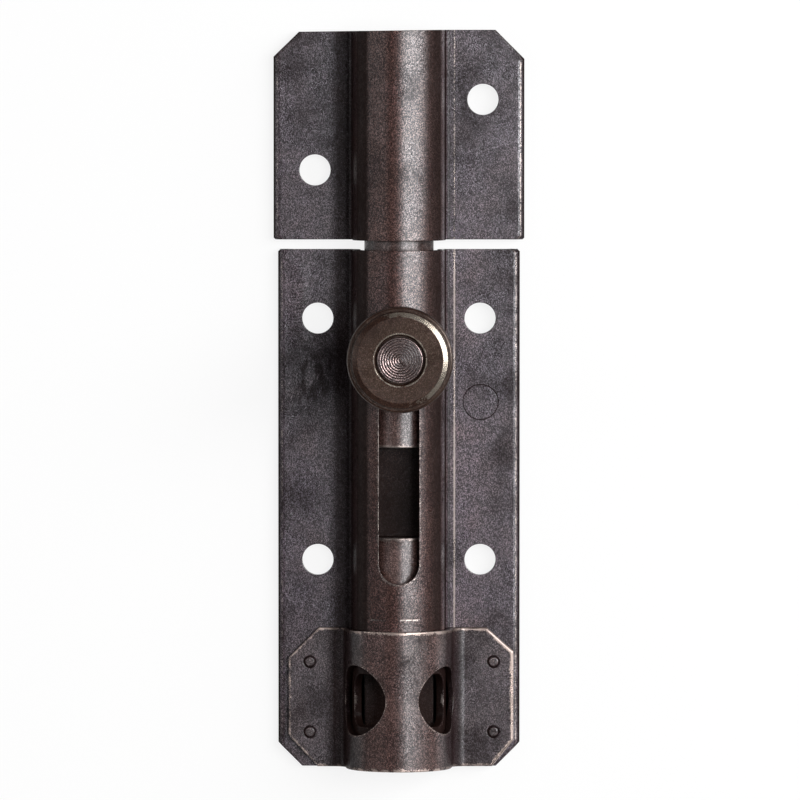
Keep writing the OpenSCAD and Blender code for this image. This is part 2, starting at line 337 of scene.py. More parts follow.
def revolve(patches: Patchwork, profile: Array, out: Array, axis: tuple[float, float],
            turns: int = 144, worn: Array | float = 0) -> None:
    """Turns a profile of radius and height about an upright axis.

    A point is the axis plus its radius times (cos t, sin t), at its height.

    Args:
        patches: Takes the surface.
        profile: Rows of radius and height in millimetres.
        out: The way out of the metal at each row, in the same plane.
        axis: Where the axis stands in x and y.
        turns: Steps round the axis.
        worn: Wear, painted highlight and painted shade at each point, as rows and columns or anything that
            spreads to them.
    """
    c, s = np.cos(all_round(turns)), np.sin(all_round(turns))
    rows = columns(profile[:, :1] * c + axis[0], profile[:, :1] * s + axis[1], profile[:, 1:])
    normals = columns(out[:, :1] * c, out[:, :1] * s, out[:, 1:])
    patches.band(rows, normals, True, worn)


# Pressed sheets


@dataclass(frozen=True)
class Fold:
    """Cross-section of a pressed sheet: a round crown, two legs, two bends and two flanges.

    The place u on it is the length along its outer face from the crown, positive to the right.
    steps are the mesh lines of half the crown, a leg and a bend, and flat_steps how far the
    flange's first line lies from the bend and the others from each other.
    """

    outer_r: float
    sheet: float
    bend_r: float
    flange_top: float
    axis_z: float
    steps: tuple[int, int, int] = (30, 4, 11)
    flat_steps: tuple[float, float] = (0.6, 1.2)
    reach: float = 40.0

    def breaks(self) -> tuple[float, float, float]:
        """Where the crown, the leg and the bend end, in u."""
        crown = self.outer_r * QUARTER
        leg = crown + self.axis_z - self.flange_top - self.bend_r
        return crown, leg, leg + self.bend_r * QUARTER

    def at(self, u: Array, depth: float = 0) -> tuple[Array, Array]:
        """Points of the section and the way out of the metal, as x and z.

        The sheet leans by u over the radius on the crown, stands upright along the leg, and lies
        down again in the bend. A point below the outer face moves in against that direction.
        """
        crown, leg, bend = self.breaks()
        length, sign = np.abs(u), np.where(u < 0, -1, 1)
        turn = np.minimum(length / self.outer_r, QUARTER)
        lay = np.clip((length - leg) / self.bend_r, 0, QUARTER)
        drop = np.clip(length, crown, leg) - crown
        out = columns(np.sin(turn - lay), np.cos(turn - lay))
        x = self.outer_r * np.sin(turn) + self.bend_r * (1 - np.cos(lay)) + np.maximum(length - bend, 0)
        z = self.axis_z + self.outer_r * np.cos(turn) - drop - self.bend_r * np.sin(lay)
        mirror = columns(sign, 1.0)
        return (columns(x, z) - depth * out) * mirror, out * mirror

    def flange(self, x: Array) -> Array:
        """The place u of a point at x on a flange."""
        return np.sign(x) * (self.breaks()[2] + np.abs(x) - self.outer_r - self.bend_r)

    def lines(self, u_low: float, u_high: float) -> Array:
        """Places u of the lines that carry the mesh, close on the curves and wide on the flats."""
        places, (first, step) = (0, *self.breaks()), self.flat_steps
        curves = [np.linspace(low, high, count)[1:]
                  for low, high, count in zip(places, places[1:], self.steps)]
        half = np.concatenate([[0], *curves, np.arange(places[-1] + first, self.reach, step)])
        both = np.concatenate([-half[:0:-1], half])
        return both[(both > u_low + SEED_GAP) & (both < u_high - SEED_GAP)]

    def punched(self, angle: float, offset: Array, depth: float = 0) -> Array:
        """The place u where a straight punch through the axis cuts the face at a depth.

        The punch leans by angle from the crown, and offset is the distance to its right. A point
        (x, z) has the offset x cos(angle) - z sin(angle), z taken from the axis.
        """
        place, swing = self.outer_r * angle, self.outer_r * PUNCH_SWING
        low = place - swing if angle > 0 else -self.reach
        high = place + swing if angle < 0 else self.reach
        u = np.linspace(low, high, PUNCH_PLACES)
        section = self.at(u, depth)[0]
        along = section[:, 0] * math.cos(angle) - (section[:, 1] - self.axis_z) * math.sin(angle)
        return np.interp(offset, along, u)


@dataclass
class Opening:
    """An edge of a sheet, as matching closed loops of u and y on its two faces.

    Wear and radius are one number, or one for each point; inner is the wear at the wall's start, a painted
    shade below 0 and a painted glint above it.
    """

    top: Array
    under: Array
    top_r: Array | float = 0.12
    under_r: float = 0.08
    worn: Array | float = 0.5
    inner: Array | None = None


@dataclass
class Sheet:
    """A pressed sheet with openings, from y_low to y_high."""

    fold: Fold
    y_low: float
    y_high: float
    step: float = 1.2
    openings: list[Opening] = field(default_factory=list)

    def spot(self, uy: Array, depth: float = 0) -> tuple[Array, Array]:
        """Points of the sheet at rows of u and y, and the way out of the outer face there."""
        place, out = self.fold.at(uy[:, 0], depth)
        return columns(place[:, 0], uy[:, 1], place[:, 1]), columns(out[:, 0], 0.0, out[:, 1])

    def punch(self, angle: float, offset: Array, y: Array, **finish: Array | float) -> None:
        """Adds an opening whose straight punch leans by angle, outlined by offset and y."""
        faces = [columns(self.fold.punched(angle, offset, depth), y) for depth in (0, self.fold.sheet)]
        self.openings.append(Opening(*faces, **finish))

    def hole(self, x: float, y: float, radius: float, angle: float = 0, turns: int = 64,
             **finish: float) -> None:
        """Adds a round hole."""
        t = all_round(turns)
        self.punch(angle, x + radius * np.cos(t), y + radius * np.sin(t), **finish)

    def wall(self, patches: Patchwork, edge: Opening, solid_inside: bool,
             steps: int = 4) -> tuple[Array, Array]:
        """Makes the wall of an opening or outline, with its two edges rounded.

        With m the step from the edge into the face, w the way down the wall and r the radius, a
        point of the rounding is edge + (1 - sin t) m + r (1 - cos t) w, for t from 0 to 90 degrees.

        Returns:
            The loops of u and y where the rounding meets the outer and the inner face.
        """
        top, out_top = self.spot(edge.top)
        under, out_under = self.spot(edge.under, self.fold.sheet)
        loop_top = edge.top + edge.top_r * mitres(edge.top, solid_inside)
        loop_under = edge.under + edge.under_r * mitres(edge.under, solid_inside)
        step_top = self.spot(loop_top)[0] - top
        step_under = self.spot(loop_under, self.fold.sheet)[0] - under
        down = unit(under - top)
        side = unit(np.cross(np.roll(top, -1, axis=0) - np.roll(top, 1, axis=0), down))
        side *= -np.sign(np.sum(side * step_top, axis=1))[:, None]
        t = np.linspace(0, QUARTER, steps + 1)[:, None, None]
        upper = top + (1 - np.sin(t)) * step_top + edge.top_r * (1 - np.cos(t)) * down
        lower = under + (1 - np.sin(t)) * step_under - edge.under_r * (1 - np.cos(t)) * down
        rows = np.concatenate([upper, lower[::-1]])
        normals = np.concatenate([np.cos(t) * out_top + np.sin(t) * side,
                                  (np.sin(t) * side - np.cos(t) * out_under)[::-1]])
        # Edges are worn all round, with a painted highlight on the sides that face the key light, to the
        # right and up.
        even, right, up = WEAR_AND_HIGHLIGHT
        edge_wear_and_highlight = edge.worn * (even + side[:, 0] * right + side[:, 1] * up)
        # The wall below its top rounding takes full painted shade.
        worn = np.concatenate([np.tile(edge_wear_and_highlight, (steps + 1, 1)), np.full((steps + 1, len(top)), FULL_SHADE)])
        if edge.inner is not None:
            worn[steps] = edge.inner
        patches.band(rows, normals, True, worn)
        return loop_top, loop_under

    def edge_gap(self, points: Array, outline: Array) -> Array:
        """Distance from each point of u and y to the sheared outline."""
        return distance_to(points, outline)

    def fill(self, patches: Patchwork, loops: list[Array], worn: list[float], depth: float) -> None:
        """Fills one face between its outline, the first loop, and its openings.

        The seeds are a grid, and a ring at each of the set distances from every loop. The wear
        falls with the distance from the nearest loop.
        """
        outline, on_loops = loops[0], sum(len(loop) for loop in loops)
        low, high = outline.min(axis=0), outline.max(axis=0)
        u = self.fold.lines(low[0], high[0])
        y = spread(low[1], high[1], self.step)[1:-1]
        grid = np.stack(np.meshgrid(u, y), axis=2).reshape(-1, 2)
        rings = [loop + ring * mitres(loop, i == 0) for i, loop in enumerate(loops)
                 for ring in (WEAR_REACH / 3, WEAR_REACH)]
        seeds = np.concatenate([grid, *rings])
        on_ring = np.arange(len(seeds)) >= len(grid)
        kept = is_inside(seeds, outline) & (distance_to(seeds, outline) > SEED_GAP)
        for loop in loops[1:]:
            kept &= ~is_inside(seeds, loop) & (distance_to(seeds, loop) > SEED_GAP)
        points = np.concatenate([*loops, seeds[kept]])
        gaps = np.array([self.edge_gap(points, outline), *[distance_to(points, loop) for loop in loops[1:]]])
        clear = np.min(gaps, axis=0) > WEAR_REACH + RING_GAP
        clear[:on_loops] = True
        clear[on_loops:] |= on_ring[kept]
        wear = np.array(worn)[:, None] * np.clip(1 - gaps[:, clear] / WEAR_REACH, 0, 1)
        triangles = triangulate(loops, points[clear][on_loops:])
        place, out = self.spot(points[clear], depth)
        patches.add(place, -out if depth else out, triangles, 0 if depth else wear.max(axis=0))

    def close(self, patches: Patchwork, outline_top: Array, outline_under: Array, worn: float) -> None:
        """Makes the openings' walls, and both faces round them; worn is the outline's wear."""
        walls = [self.wall(patches, opening, False) for opening in self.openings]
        shares = [worn, *[float(np.mean(opening.worn)) for opening in self.openings]]
        self.fill(patches, [outline_top, *[wall[0] for wall in walls]], shares, 0)
        self.fill(patches, [outline_under, *[wall[1] for wall in walls]], shares, self.fold.sheet)


@dataclass
class TurnedPlate(Sheet):
    """A pressed sheet whose long sides and cut corners are turned down to the door.

    cuts gives the legs that the corners lose: lower left, lower right, upper left, upper right.
    A long side's rounding is rubbed, with a painted highlight, where it leans by worn_at, over worn_over
    radians, as much as side_worn says for the left and the right, more on the right towards the key light.
    Where it turns down to the door, from the lean dark_at over dark_over, it takes a painted shade.
    """

    width: float = 35
    cuts: tuple[float, float, float, float] = (0, 0, 0, 0)
    lip: float = 1.0
    edge_r: float = 1.0
    cut_r: float = 0.3
    cut_blend: float = 0.7
    lip_r: float = 0.18
    end_r: float = 0.1
    end_worn: float = 0.4
    side_worn: tuple[float, float] = (0.72, 0.95)
    worn_at: float = 0.47
    worn_over: float = 0.17
    dark_at: float = 0.62
    dark_over: float = 0.25
    dark: float = 0.85
    profile_end: float = 4.0

    def side(self, sign: int) -> tuple[Array, Array, Array, Array]:
        """The plan of one long side, from low to high.

        Along each straight stretch the step inwards goes evenly from one corner's mitre to the
        next one's, so that every line which lies a set distance in stays straight.

        Returns:
            Points in x and y, the step inwards for each millimetre, the way in, and how far the
            edge's rounding has gone over to that of a cut.
        """
        half = self.width / 2
        low_cut, high_cut = self.cuts[(sign + 1) // 2], self.cuts[2 + (sign + 1) // 2]
        low, high = self.y_low + self.end_r, self.y_high - self.end_r
        corners = [(half - max(low_cut - self.end_r, 0), low)]
        corners += [(half, self.y_low + low_cut)] if low_cut else []
        corners += [(half, self.y_high - high_cut)] if high_cut else []
        corners += [(half - max(high_cut - self.end_r, 0), high)]
        corner = np.array(corners)
        leg = np.diff(corner, axis=0)
        length = np.linalg.norm(leg, axis=1)
        way_in = to_left(leg) / length[:, None]
        flat = [np.array([1 / way_in[i, 0], 0]) for i in (0, -1)]
        between = [(a + b) / (1 + a @ b) for a, b in zip(way_in[:-1], way_in[1:])]
        mitre = np.array([flat[0], *between, flat[1]])
        points, steps, ways, cuts = [], [], [], []
        slanted, corner_gap = 0.1, 0.15
        for i in range(len(leg)):
            is_cut = abs(way_in[i, 1]) > slanted and length[i] > 2 * self.cut_blend
            along = spread(0, length[i], self.step, min(corner_gap, length[i] / 4))
            if is_cut:
                along = np.unique(np.append(along, [self.cut_blend, length[i] - self.cut_blend]))
            along = along[:, None]
            share = along / length[i]
            points.append(corner[i] + share * leg[i])
            steps.append(mitre[i] + share * (mitre[i + 1] - mitre[i]))
            ways.append(np.broadcast_to(way_in[i], points[-1].shape))
            from_corner = length[i] - along if i == 0 else along
            cuts.append(is_cut * np.clip(from_corner / self.cut_blend, 0, 1))
        mirror = np.array([sign, 1])
        plan = [np.concatenate(part) * mirror for part in (points, steps, ways)]
        return (*plan, np.concatenate(cuts))

    def rim(self, patches: Patchwork, sign: int) -> dict[str, Array]:
        """Carries the turned-down edge's profile along one long side.

        The profile starts on the outer face, rounds down to the door, crosses under the lip and
        comes back up to the inner face.

        Returns:
            The lines where it meets the outer and the inner face, in u and y, and the profile's
            points and normals at the low and the high end.
        """
        top, under, far = self.fold.flange_top, self.fold.flange_top - self.fold.sheet, self.profile_end
        profiles, outs = zip(*[rounded_path(
            [(far, top), (0, top, radius), (0, 0, self.lip_r), (self.lip, 0, self.lip_r),
             (self.lip, under, self.lip_r), (far, under)], -1, 11) for radius in (self.edge_r, self.cut_r)])
        plan, step, way, cut = self.side(sign)
        profile = profiles[0][1:-1] + cut[:, :, None] * (profiles[1] - profiles[0])[1:-1]
        out = unit(outs[0][1:-1] + cut[:, :, None] * (outs[1] - outs[0])[1:-1])
        rows = columns(plan[:, :1] + step[:, :1] * profile[..., 0],
                       plan[:, 1:] + step[:, 1:] * profile[..., 0], profile[..., 1])
        normals = columns(way[:, :1] * out[..., 0], way[:, 1:] * out[..., 0], out[..., 1])
        lean = np.arctan2(-out[..., 0], out[..., 1])
        # Rubbed with a painted highlight along the rounding, more on the right; painted shade where it turns
        # down to the door.
        worn = self.side_worn[(sign + 1) // 2] * np.exp(-((lean - self.worn_at) / self.worn_over) ** 2)
        worn -= self.dark * np.clip((lean - self.dark_at) / self.dark_over, 0, 1)
        patches.band(rows, normals, False, worn)
        lines = {}
        for name, column in (("top", 0), ("under", -1)):
            xy = rows[:, column, :2]
            _, keep = np.unique(np.round(xy[:, 1] / WELD), return_index=True)
            lines[name] = columns(self.fold.flange(xy[keep, 0]), xy[keep, 1])
        lines["low"], lines["high"] = rows[0], rows[-1]
        lines["low_out"], lines["high_out"] = normals[0], normals[-1]
        return lines

    def edge_gap(self, points: Array, outline: Array) -> Array:
        """Distance from each point of u and y to the nearer of the two sheared short edges."""
        return np.minimum(points[:, 1] - self.y_low, self.y_high - points[:, 1]) - self.end_r

    def outline(self, right: dict[str, Array], left: dict[str, Array], face: str) -> Array:
        """The closed outline of one face, anticlockwise from the right side's low end."""
        a, b = right[face], left[face]
        low, high = (columns(self.fold.lines(b[row, 0], a[row, 0]), a[row, 1]) for row in (0, -1))
        return np.concatenate([a, high[::-1], b[::-1], low])

    def cap(self, patches: Patchwork, right: dict[str, Array], left: dict[str, Array], end: str) -> None:
        """Closes a sheared short edge: the section rounds over its edge onto a flat end.

        A point of the rounding is the section's point, moved in by r (1 - cos t) and out along
        the plate by r sin t.
        """
        sign, y = (1, self.y_high) if end == "high" else (-1, self.y_low)
        row = -1 if end == "high" else 0
        runs = [(right[end], right[end + "_out"])]
        for face, depth, flip in (("under", self.fold.sheet, -1), ("top", 0, 1)):
            u = self.fold.lines(left[face][row, 0], right[face][row, 0])[::flip]
            points, out = self.spot(columns(u, y - sign * self.end_r), depth)
            runs.append((points, flip * out))
            if face == "under":
                runs.append((left[end][::-1], left[end + "_out"][::-1]))
        loop = np.concatenate([run[0] for run in runs])
        out = np.concatenate([run[1] for run in runs])
        flat = unit(out * np.array([1, 0, 1]))
        t = np.linspace(0, QUARTER, 4)[:, None, None]
        along = np.array([0, sign, 0])
        rows = loop - self.end_r * (1 - np.cos(t)) * flat + self.end_r * np.sin(t) * along
        normals = np.cos(t) * out + np.sin(t) * along
        patches.band(rows, normals, True, self.end_worn)
        end_loop = rows[-1]
        triangles = triangulate([end_loop[:, [0, 2]]], np.zeros((0, 2)))
        patches.add(end_loop, np.broadcast_to(along, end_loop.shape).astype(float), triangles, 0)

    def build(self, patches: Patchwork) -> None:
        """Makes the whole plate."""
        right, left = self.rim(patches, 1), self.rim(patches, -1)
        self.cap(patches, right, left, "low")
        self.cap(patches, right, left, "high")
        self.close(patches, self.outline(right, left, "top"), self.outline(right, left, "under"),
                   self.end_worn)


# Sub-assemblies


def stand(name: str, data: bpy.types.ID) -> bpy.types.Object:
    """Puts an object into the scene."""
    thing = bpy.data.objects.new(name, data)
    bpy.context.scene.collection.objects.link(thing)
    return thing


@dataclass
class Piece:
    """One piece of the object, with what it stands for and what carries it."""

    name: str
    node: str
    body: Body
    slot: Slot

    def box(self) -> tuple[Array, Array]:
        """Lowest and highest corner of the piece's node at rest, in millimetres."""
        low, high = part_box(self.node)
        return np.array(low) / MM, np.array(high) / MM

    def put(self, patches: Patchwork, material: bpy.types.Material) -> None:
        """Makes the piece's object, gives it to the frame and reports it."""
        mesh = patches.mesh(self.name)
        mesh.materials.append(material)
        thing = stand(self.name, mesh)
        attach(thing, self.body.value)
        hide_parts(self.node)


@dataclass(frozen=True)
class Bore:
    """The bolt's bore and the sheet round it, which both plates share."""

    bolt_d: float = 10
    lift: float = 0.3
    play: float = 0.55
    sheet: float = 1.2
    flange_top: float = 2.2
    foot_r: float = 0.6

    @property
    def axis_z(self) -> float:
        """Height of the bolt's axis over the door."""
        return self.lift + self.bolt_d / 2

    @property
    def outer_r(self) -> float:
        """Outer radius of the barrel."""
        return self.bolt_d / 2 + self.play + self.sheet

    def fold(self) -> Fold:
        """Cross-section of both plates."""
        return Fold(self.outer_r, self.sheet, self.foot_r, self.flange_top, self.axis_z)


@dataclass
class BodyPlate(Piece):
    """Barrel and flanges in one pressing, with the knob's slot and the padlock's window.

    window_worn is the wear along the window's edge, with a painted glint at its middle, over the length
    glint_streak; wall_worn gives its wall a painted shade everywhere and a painted glint at the middle.
    """

    bore: Bore = Bore()
    cut: float = 3.45
    nip: float = 0.35
    screw_d: float = 4.5
    screws_across: float = 23.5
    screws_along: float = 35
    slot_width: float = 5.8
    pin_room: float = 2.7
    travel: float = 30
    window_angle: float = math.radians(72)
    window_length: float = 7.6
    window_r: float = 2
    window_worn: tuple[float, float] = (0.42, 0.8)
    wall_worn: tuple[float, float] = (-1.0, 2.8)
    glint_streak: float = 1.2
    rivet_r: float = 0.745
    side_step: float = 1.2

    def slot_edge(self, knob_y: float) -> tuple[Array, Array]:
        """Outline of the slot as x and y: two half circles joined by straight sides."""
        half = self.slot_width / 2
        high, low = knob_y + self.pin_room - half, knob_y - self.travel - self.pin_room + half
        t = np.linspace(0, np.pi, 25)
        side = spread(low, high, self.side_step)[1:-1]
        x = np.concatenate([half * np.cos(t), np.full(len(side), -half), -half * np.cos(t),
                            np.full(len(side), half)])
        y = np.concatenate([high + half * np.sin(t), side[::-1], low - half * np.sin(t), side])
        return x, y

    def window(self, fold: Fold, lock_y: float) -> Opening:
        """The padlock's window: two punched ends with rounded corners, and the crown between.

        Each end is punched along the lean at which its corners' centres stand on the crown. A painted glint
        lights the middle of the edge and of the wall, by exp(-(y / glint_streak) squared).
        """
        r, half = self.window_r, self.window_length / 2
        lean = self.window_angle - math.asin(r / fold.outer_r)
        t = np.linspace(0, QUARTER, 9)
        side = np.linspace(r - half, half - r, 6)[1:-1]
        offset = np.concatenate([r * np.sin(t), np.full(len(side), r), r * np.cos(t)])
        y = np.concatenate([r - half - r * np.cos(t), side, half - r + r * np.sin(t)])
        crown = np.linspace(fold.outer_r * lean, -fold.outer_r * lean, 26)[1:-1]
        loops = []
        for depth in (0, fold.sheet):
            end, line = columns(fold.punched(lean, offset, depth), y), columns(crown, half)
            loops.append(np.concatenate([end, line, -end, -line]) + np.array([0, lock_y]))
        # Painted glint at the middle of the edge and the wall; painted shade on the rest of the wall.
        glint_streak = np.exp(-((loops[0][:, 1] - lock_y) / self.glint_streak) ** 2)
        worn, inner = (even + more * glint_streak for even, more in (self.window_worn, self.wall_worn))
        return Opening(*loops, top_r=0.15, worn=worn, inner=inner)

    def build(self, knob_y: float, rivets: Array) -> Patchwork:
        """Makes the plate.

        Args:
            knob_y: Where the knob's axis stands when the bolt is thrown.
            rivets: Rows of x and y.

        Returns:
            The plate's patches.
        """
        low, high = self.box()
        plate = TurnedPlate(self.bore.fold(), low[1], high[1], width=high[0] - low[0],
                            cuts=(self.cut, self.cut, self.nip, self.nip))
        for x in (-1, 1):
            for y in (-1, 1):
                plate.hole(x * self.screws_across / 2, y * self.screws_along / 2, self.screw_d / 2,
                           worn=0.2)
        for x, y in rivets:
            plate.hole(x, y, self.rivet_r, turns=24, top_r=0.05, under_r=0.05, worn=0)
        plate.punch(0, *self.slot_edge(knob_y), top_r=0.12, worn=0.75)
        plate.openings.append(self.window(plate.fold, rivets[:, 1].mean()))
        patches = Patchwork()
        plate.build(patches)
        return patches


@dataclass
class Keeper(Piece):
    """The short plate that takes the thrown bolt, with cut upper corners."""

    bore: Bore = Bore()
    cuts: tuple[float, float] = (3.7, 4.2)
    nip: float = 0.25
    screw_d: float = 4.5
    screw_across: float = 24.3
    screw_along: float = 10.2
    skew: float = 0.32
    skew_reach: float = 8

    def out_of_square(self, points: Array) -> Array:
        """Lowers the upper edge evenly towards the left, fading out over the screws."""
        low, high = self.box()
        across = np.clip((high[0] / 3 - points[:, 0]) / (high[0] * 4 / 3), 0, 1)
        up = np.clip(1 - (high[1] - points[:, 1]) / self.skew_reach, 0, 1)
        return points - np.array([0, self.skew, 0]) * (across * up)[:, None]

    def build(self) -> Patchwork:
        """Makes the keeper, with its two screw holes on a diagonal."""
        low, high = self.box()
        plate = TurnedPlate(self.bore.fold(), low[1], high[1], width=high[0] - low[0],
                            cuts=(self.nip, self.nip, *self.cuts))
        middle = (low[1] + high[1]) / 2
        for side in (-1, 1):
            plate.hole(side * self.screw_across / 2, middle + side * self.screw_along / 2,
                       self.screw_d / 2, worn=0.2)
        patches = Patchwork()
        plate.build(patches)
        patches.shape(self.out_of_square)
        return patches


@dataclass
class PadlockCover(Piece):
    """The arched cover over the barrel's lower end, whose two holes take a padlock's shackle.

    The cuts run anticlockwise from the lower right: across and along. A hole is the lean of its
    punch in degrees and its size.
    """

    bore: Bore = Bore()
    gap: float = 0.05
    sheet: float = 0.9
    bend_r: float = 1.9
    cuts: tuple[tuple[float, float], ...] = ((3.1, 3.8), (3.9, 3.5), (4.4, 4.4), (4.2, 4.5))
    holes: tuple[tuple[float, float], ...] = ((-56, 10.1), (61, 9.7))
    rivet_r: float = 0.745
    dimple: float = 0.3
    glint_streak: float = 1.6
    aside: float = 0.3
    edge_step: float = 1.0
    corner_gap: float = 0.22
    edge_rs: tuple[float, float] = (0.15, 0.28)
    edge_worn: float = 1.15
    face_worn: float = 0.85

    def fold(self) -> Fold:
        """Cross-section of the cover, which lies on the barrel and its flanges."""
        return Fold(self.bore.outer_r + self.gap + self.sheet, self.sheet, self.bend_r,
                    self.bore.flange_top + self.sheet, self.bore.axis_z)

    def outline(self, fold: Fold, low: Array, high: Array) -> Array:
        """Closed outline in u and y, with a point close to either side of every corner."""
        (a, b), (c, d), (e, f), (g, h) = self.cuts
        x, y, top = high[0], low[1], high[1]
        corners = np.array([(x - a, y), (x, y + b), (x, top - d), (x - c, top),
                            (-x + e, top), (-x, top - f), (-x, y + h), (-x + g, y)])
        corners[:, 0] += self.aside
        runs = []
        for start, end in zip(corners, np.roll(corners, -1, axis=0)):
            if start[0] * end[0] < 0 and start[1] == end[1]:
                first, last = fold.flange(np.array([start[0], end[0]]))
                inner = fold.lines(min(first, last), max(first, last))[::1 if first < last else -1]
                runs.append(columns(np.append(first, inner), start[1]))
                continue
            length = np.linalg.norm(end - start)
            share = spread(0, length, self.edge_step, self.corner_gap)[:-1, None] / length
            run = start + share * (end - start)
            runs.append(columns(fold.flange(run[:, 0]), run[:, 1]))
        return np.concatenate(runs)

    def build(self, rivets: Array) -> Patchwork:
        """Makes the cover round its rivets, given as rows of x and y."""
        low, high = self.box()
        fold = self.fold()
        cover = Sheet(fold, low[1], high[1])
        middle = (low[1] + high[1]) / 2
        for angle, size in self.holes:
            t = all_round(72)
            along = size / 2 * np.sin(t)
            # Each hole's wall takes a painted shade, with a painted glint at its middle.
            glint_streak = np.exp(-(along / self.glint_streak) ** 2)
            cover.punch(math.radians(angle), size / 2 * np.cos(t), middle + along,
                        top_r=0.12, worn=0.7, inner=1.9 * glint_streak - 0.85)
        for x, y in rivets:
            # Each dimple round a rivet's end takes a painted shade.
            cover.hole(x, y, self.rivet_r, turns=32, top_r=self.dimple, under_r=0.05, worn=-0.8)
        patches = Patchwork()
        loop = self.outline(fold, low, high)
        small, large = self.edge_rs
        rounding = small + (large - small) * np.clip(loop[:, :1] / high[0], 0, 1)
        edges = cover.wall(patches, Opening(loop, loop, rounding, 0.1, self.edge_worn), True)
        cover.close(patches, *edges, self.face_worn)
        return patches


@dataclass
class CoverRivets(Piece):
    """Four rivets: a round head under the body's flange and an upset end in the cover's dimple."""

    shank_r: float = 0.725
    head_r: float = 1.3
    head_h: float = 0.6
    head_round: float = 0.25
    seat_round: float = 0.04
    fillet: float = 0.02
    end_round: float = 0.22
    aside: float = 0.4

    def places(self) -> Array:
        """Rows of x and y, the four corners of the node's box less the heads."""
        low, high = self.box()
        x, y = high[0] - self.head_r, np.array([low[1], high[1]]) + [self.head_r, -self.head_r]
        corners = [(-x, y[0]), (x, y[0]), (x, y[1]), (-x, y[1])]
        return np.array(corners) + np.array([self.aside, 0])

    def build(self) -> Patchwork:
        """Turns each rivet's profile about its own axis."""
        low, high = self.box()
        seat = low[2] + self.head_h
        profile, out = rounded_path([
            (0, low[2]), (self.head_r, low[2], self.head_round), (self.head_r, seat, self.seat_round),
            (self.shank_r, seat, self.fillet), (self.shank_r, high[2], self.end_round), (0, high[2])], -1)
        patches = Patchwork()
        for place in self.places():
            revolve(patches, profile, out, place, 32)
        return patches


@dataclass
class BoltRod(Piece):
    """The round bolt, with two milled notches for the padlock's shackle.

    neck_shade gives y and wear of the rings that carry painted shade between body and keeper.
    """

    chamfer: float = 0.8
    tip_rounds: tuple[float, float] = (0.1, 0.3)
    notch_length: float = 13
    notch_depth: float = 4
    travel: float = 30
    edge_r: float = 0.14
    # Painted shade on the notch floors.
    notch_shade: float = -0.8
    end_wear: float = 0.5
    ring_gap: float = 1.0
    neck_shade: tuple[tuple[float, float], ...] = (
        (26.6, 0), (27.6, -0.42), (28.2, -0.12), (28.8, -0.42), (29.8, 0))

    def build(self, lock_y: float) -> Patchwork:
        """Makes the rod as rings of points from its tail to its tip.

        Each ring is a round of x = r sin t and z = r cos t, whose upper part between the sides
        of a notch lies on the notch's floor where the ring runs through one. On a notch's end
        wall the upper part drops from the round to the floor within one plane, round an edge.

        Args:
            lock_y: Where the padlock's way crosses the bolt when it is thrown.

        Returns:
            The rod's patches.
        """
        low, high = self.box()
        r = (high[2] - low[2]) / 2
        axis_z = low[2] + r
        floor = r - self.notch_depth
        half_floor = math.sqrt(r**2 - floor**2)
        # Shares of the floor's half width, closer together at its sides
        lay = np.array([-1, -0.985, -0.96, *np.linspace(-0.92, 0.92, 29), 0.96, 0.985, 1])
        upper = np.arcsin(half_floor * lay / r)
        lower = np.linspace(upper[-1], 2 * np.pi + upper[0], 66)[1:-1]
        t = np.concatenate([upper, lower])
        ring = columns(np.sin(t), np.cos(t))
        on_top = np.arange(len(t)) < len(lay)
        points, normals, worn = [], [], []

        def row(y: float, radius: float = r, out: tuple[float, float] = (1, 0), drop: float | None = None,
                slope: float = 0, wear: float = 0) -> None:
            """Adds a ring at y; out is the way out as round and along; drop is the floor's height."""
            place = columns(radius * ring[:, 0], y, radius * ring[:, 1])
            way = columns(out[0] * ring[:, 0], out[1], out[0] * ring[:, 1])
            if drop is not None:
                place[on_top, 2] = np.minimum(place[on_top, 2], drop)
                way[on_top] = np.array([0, math.sin(slope), math.cos(slope)])
                way[[0, len(lay) - 1]] += ring[[0, len(lay) - 1]] @ np.array([[1, 0, 0], [0, 0, 1]])
            points.append(place)
            normals.append(unit(way))
            worn.append(np.full(len(t), wear if drop is None else self.notch_shade))

        def notch_end(y: float, side: int, angle: float, under: bool) -> None:
            """Adds a ring of a notch's end, which rounds over above its wall and out below it.

            side is 1 at the end whose notch lies above y and -1 at the other.
            """
            along, down = self.edge_r * (1 - math.sin(angle)), self.edge_r * (1 - math.cos(angle))
            if under:
                row(y + side * along, drop=floor + down, slope=side * angle)
            else:
                row(y - side * along, r - down, (math.cos(angle), side * math.sin(angle)), wear=1)

        inner, outer = self.tip_rounds
        profile, out = rounded_path([
            (0, low[1]), (r - self.chamfer, low[1], inner), (r, low[1] + self.chamfer, outer),
            (r, high[1] - self.chamfer, outer), (r - self.chamfer, high[1], inner), (0, high[1])], -1)
        half = len(profile) // 2
        angles = np.linspace(0, QUARTER, 5)
        bend = [*[(angle, False) for angle in angles], *[(angle, True) for angle in angles[::-1]]]
        for (radius, y), way in zip(profile[:half], out[:half]):
            row(y, radius, way, wear=self.end_wear)
        for middle in (lock_y, lock_y + self.travel):
            start, end = middle - self.notch_length / 2, middle + self.notch_length / 2
            row(start - self.ring_gap)
            for angle, under in bend:
                notch_end(start, 1, angle, under)
            for y in spread(start + self.ring_gap / 2, end - self.ring_gap / 2, self.ring_gap):
                row(y, drop=floor)
            for angle, under in bend[::-1]:
                notch_end(end, -1, angle, under)
            row(end + self.ring_gap)
        # Rings of painted shade where the rod passes between body and keeper.
        for y, wear in self.neck_shade:
            row(y, wear=wear)
        for (radius, y), way in zip(profile[half:], out[half:]):
            row(y, radius, way, wear=self.end_wear)
        patches = Patchwork()
        rows = np.array(points) + np.array([0, 0, axis_z])
        patches.band(rows, np.array(normals), True, np.array(worn))
        return patches


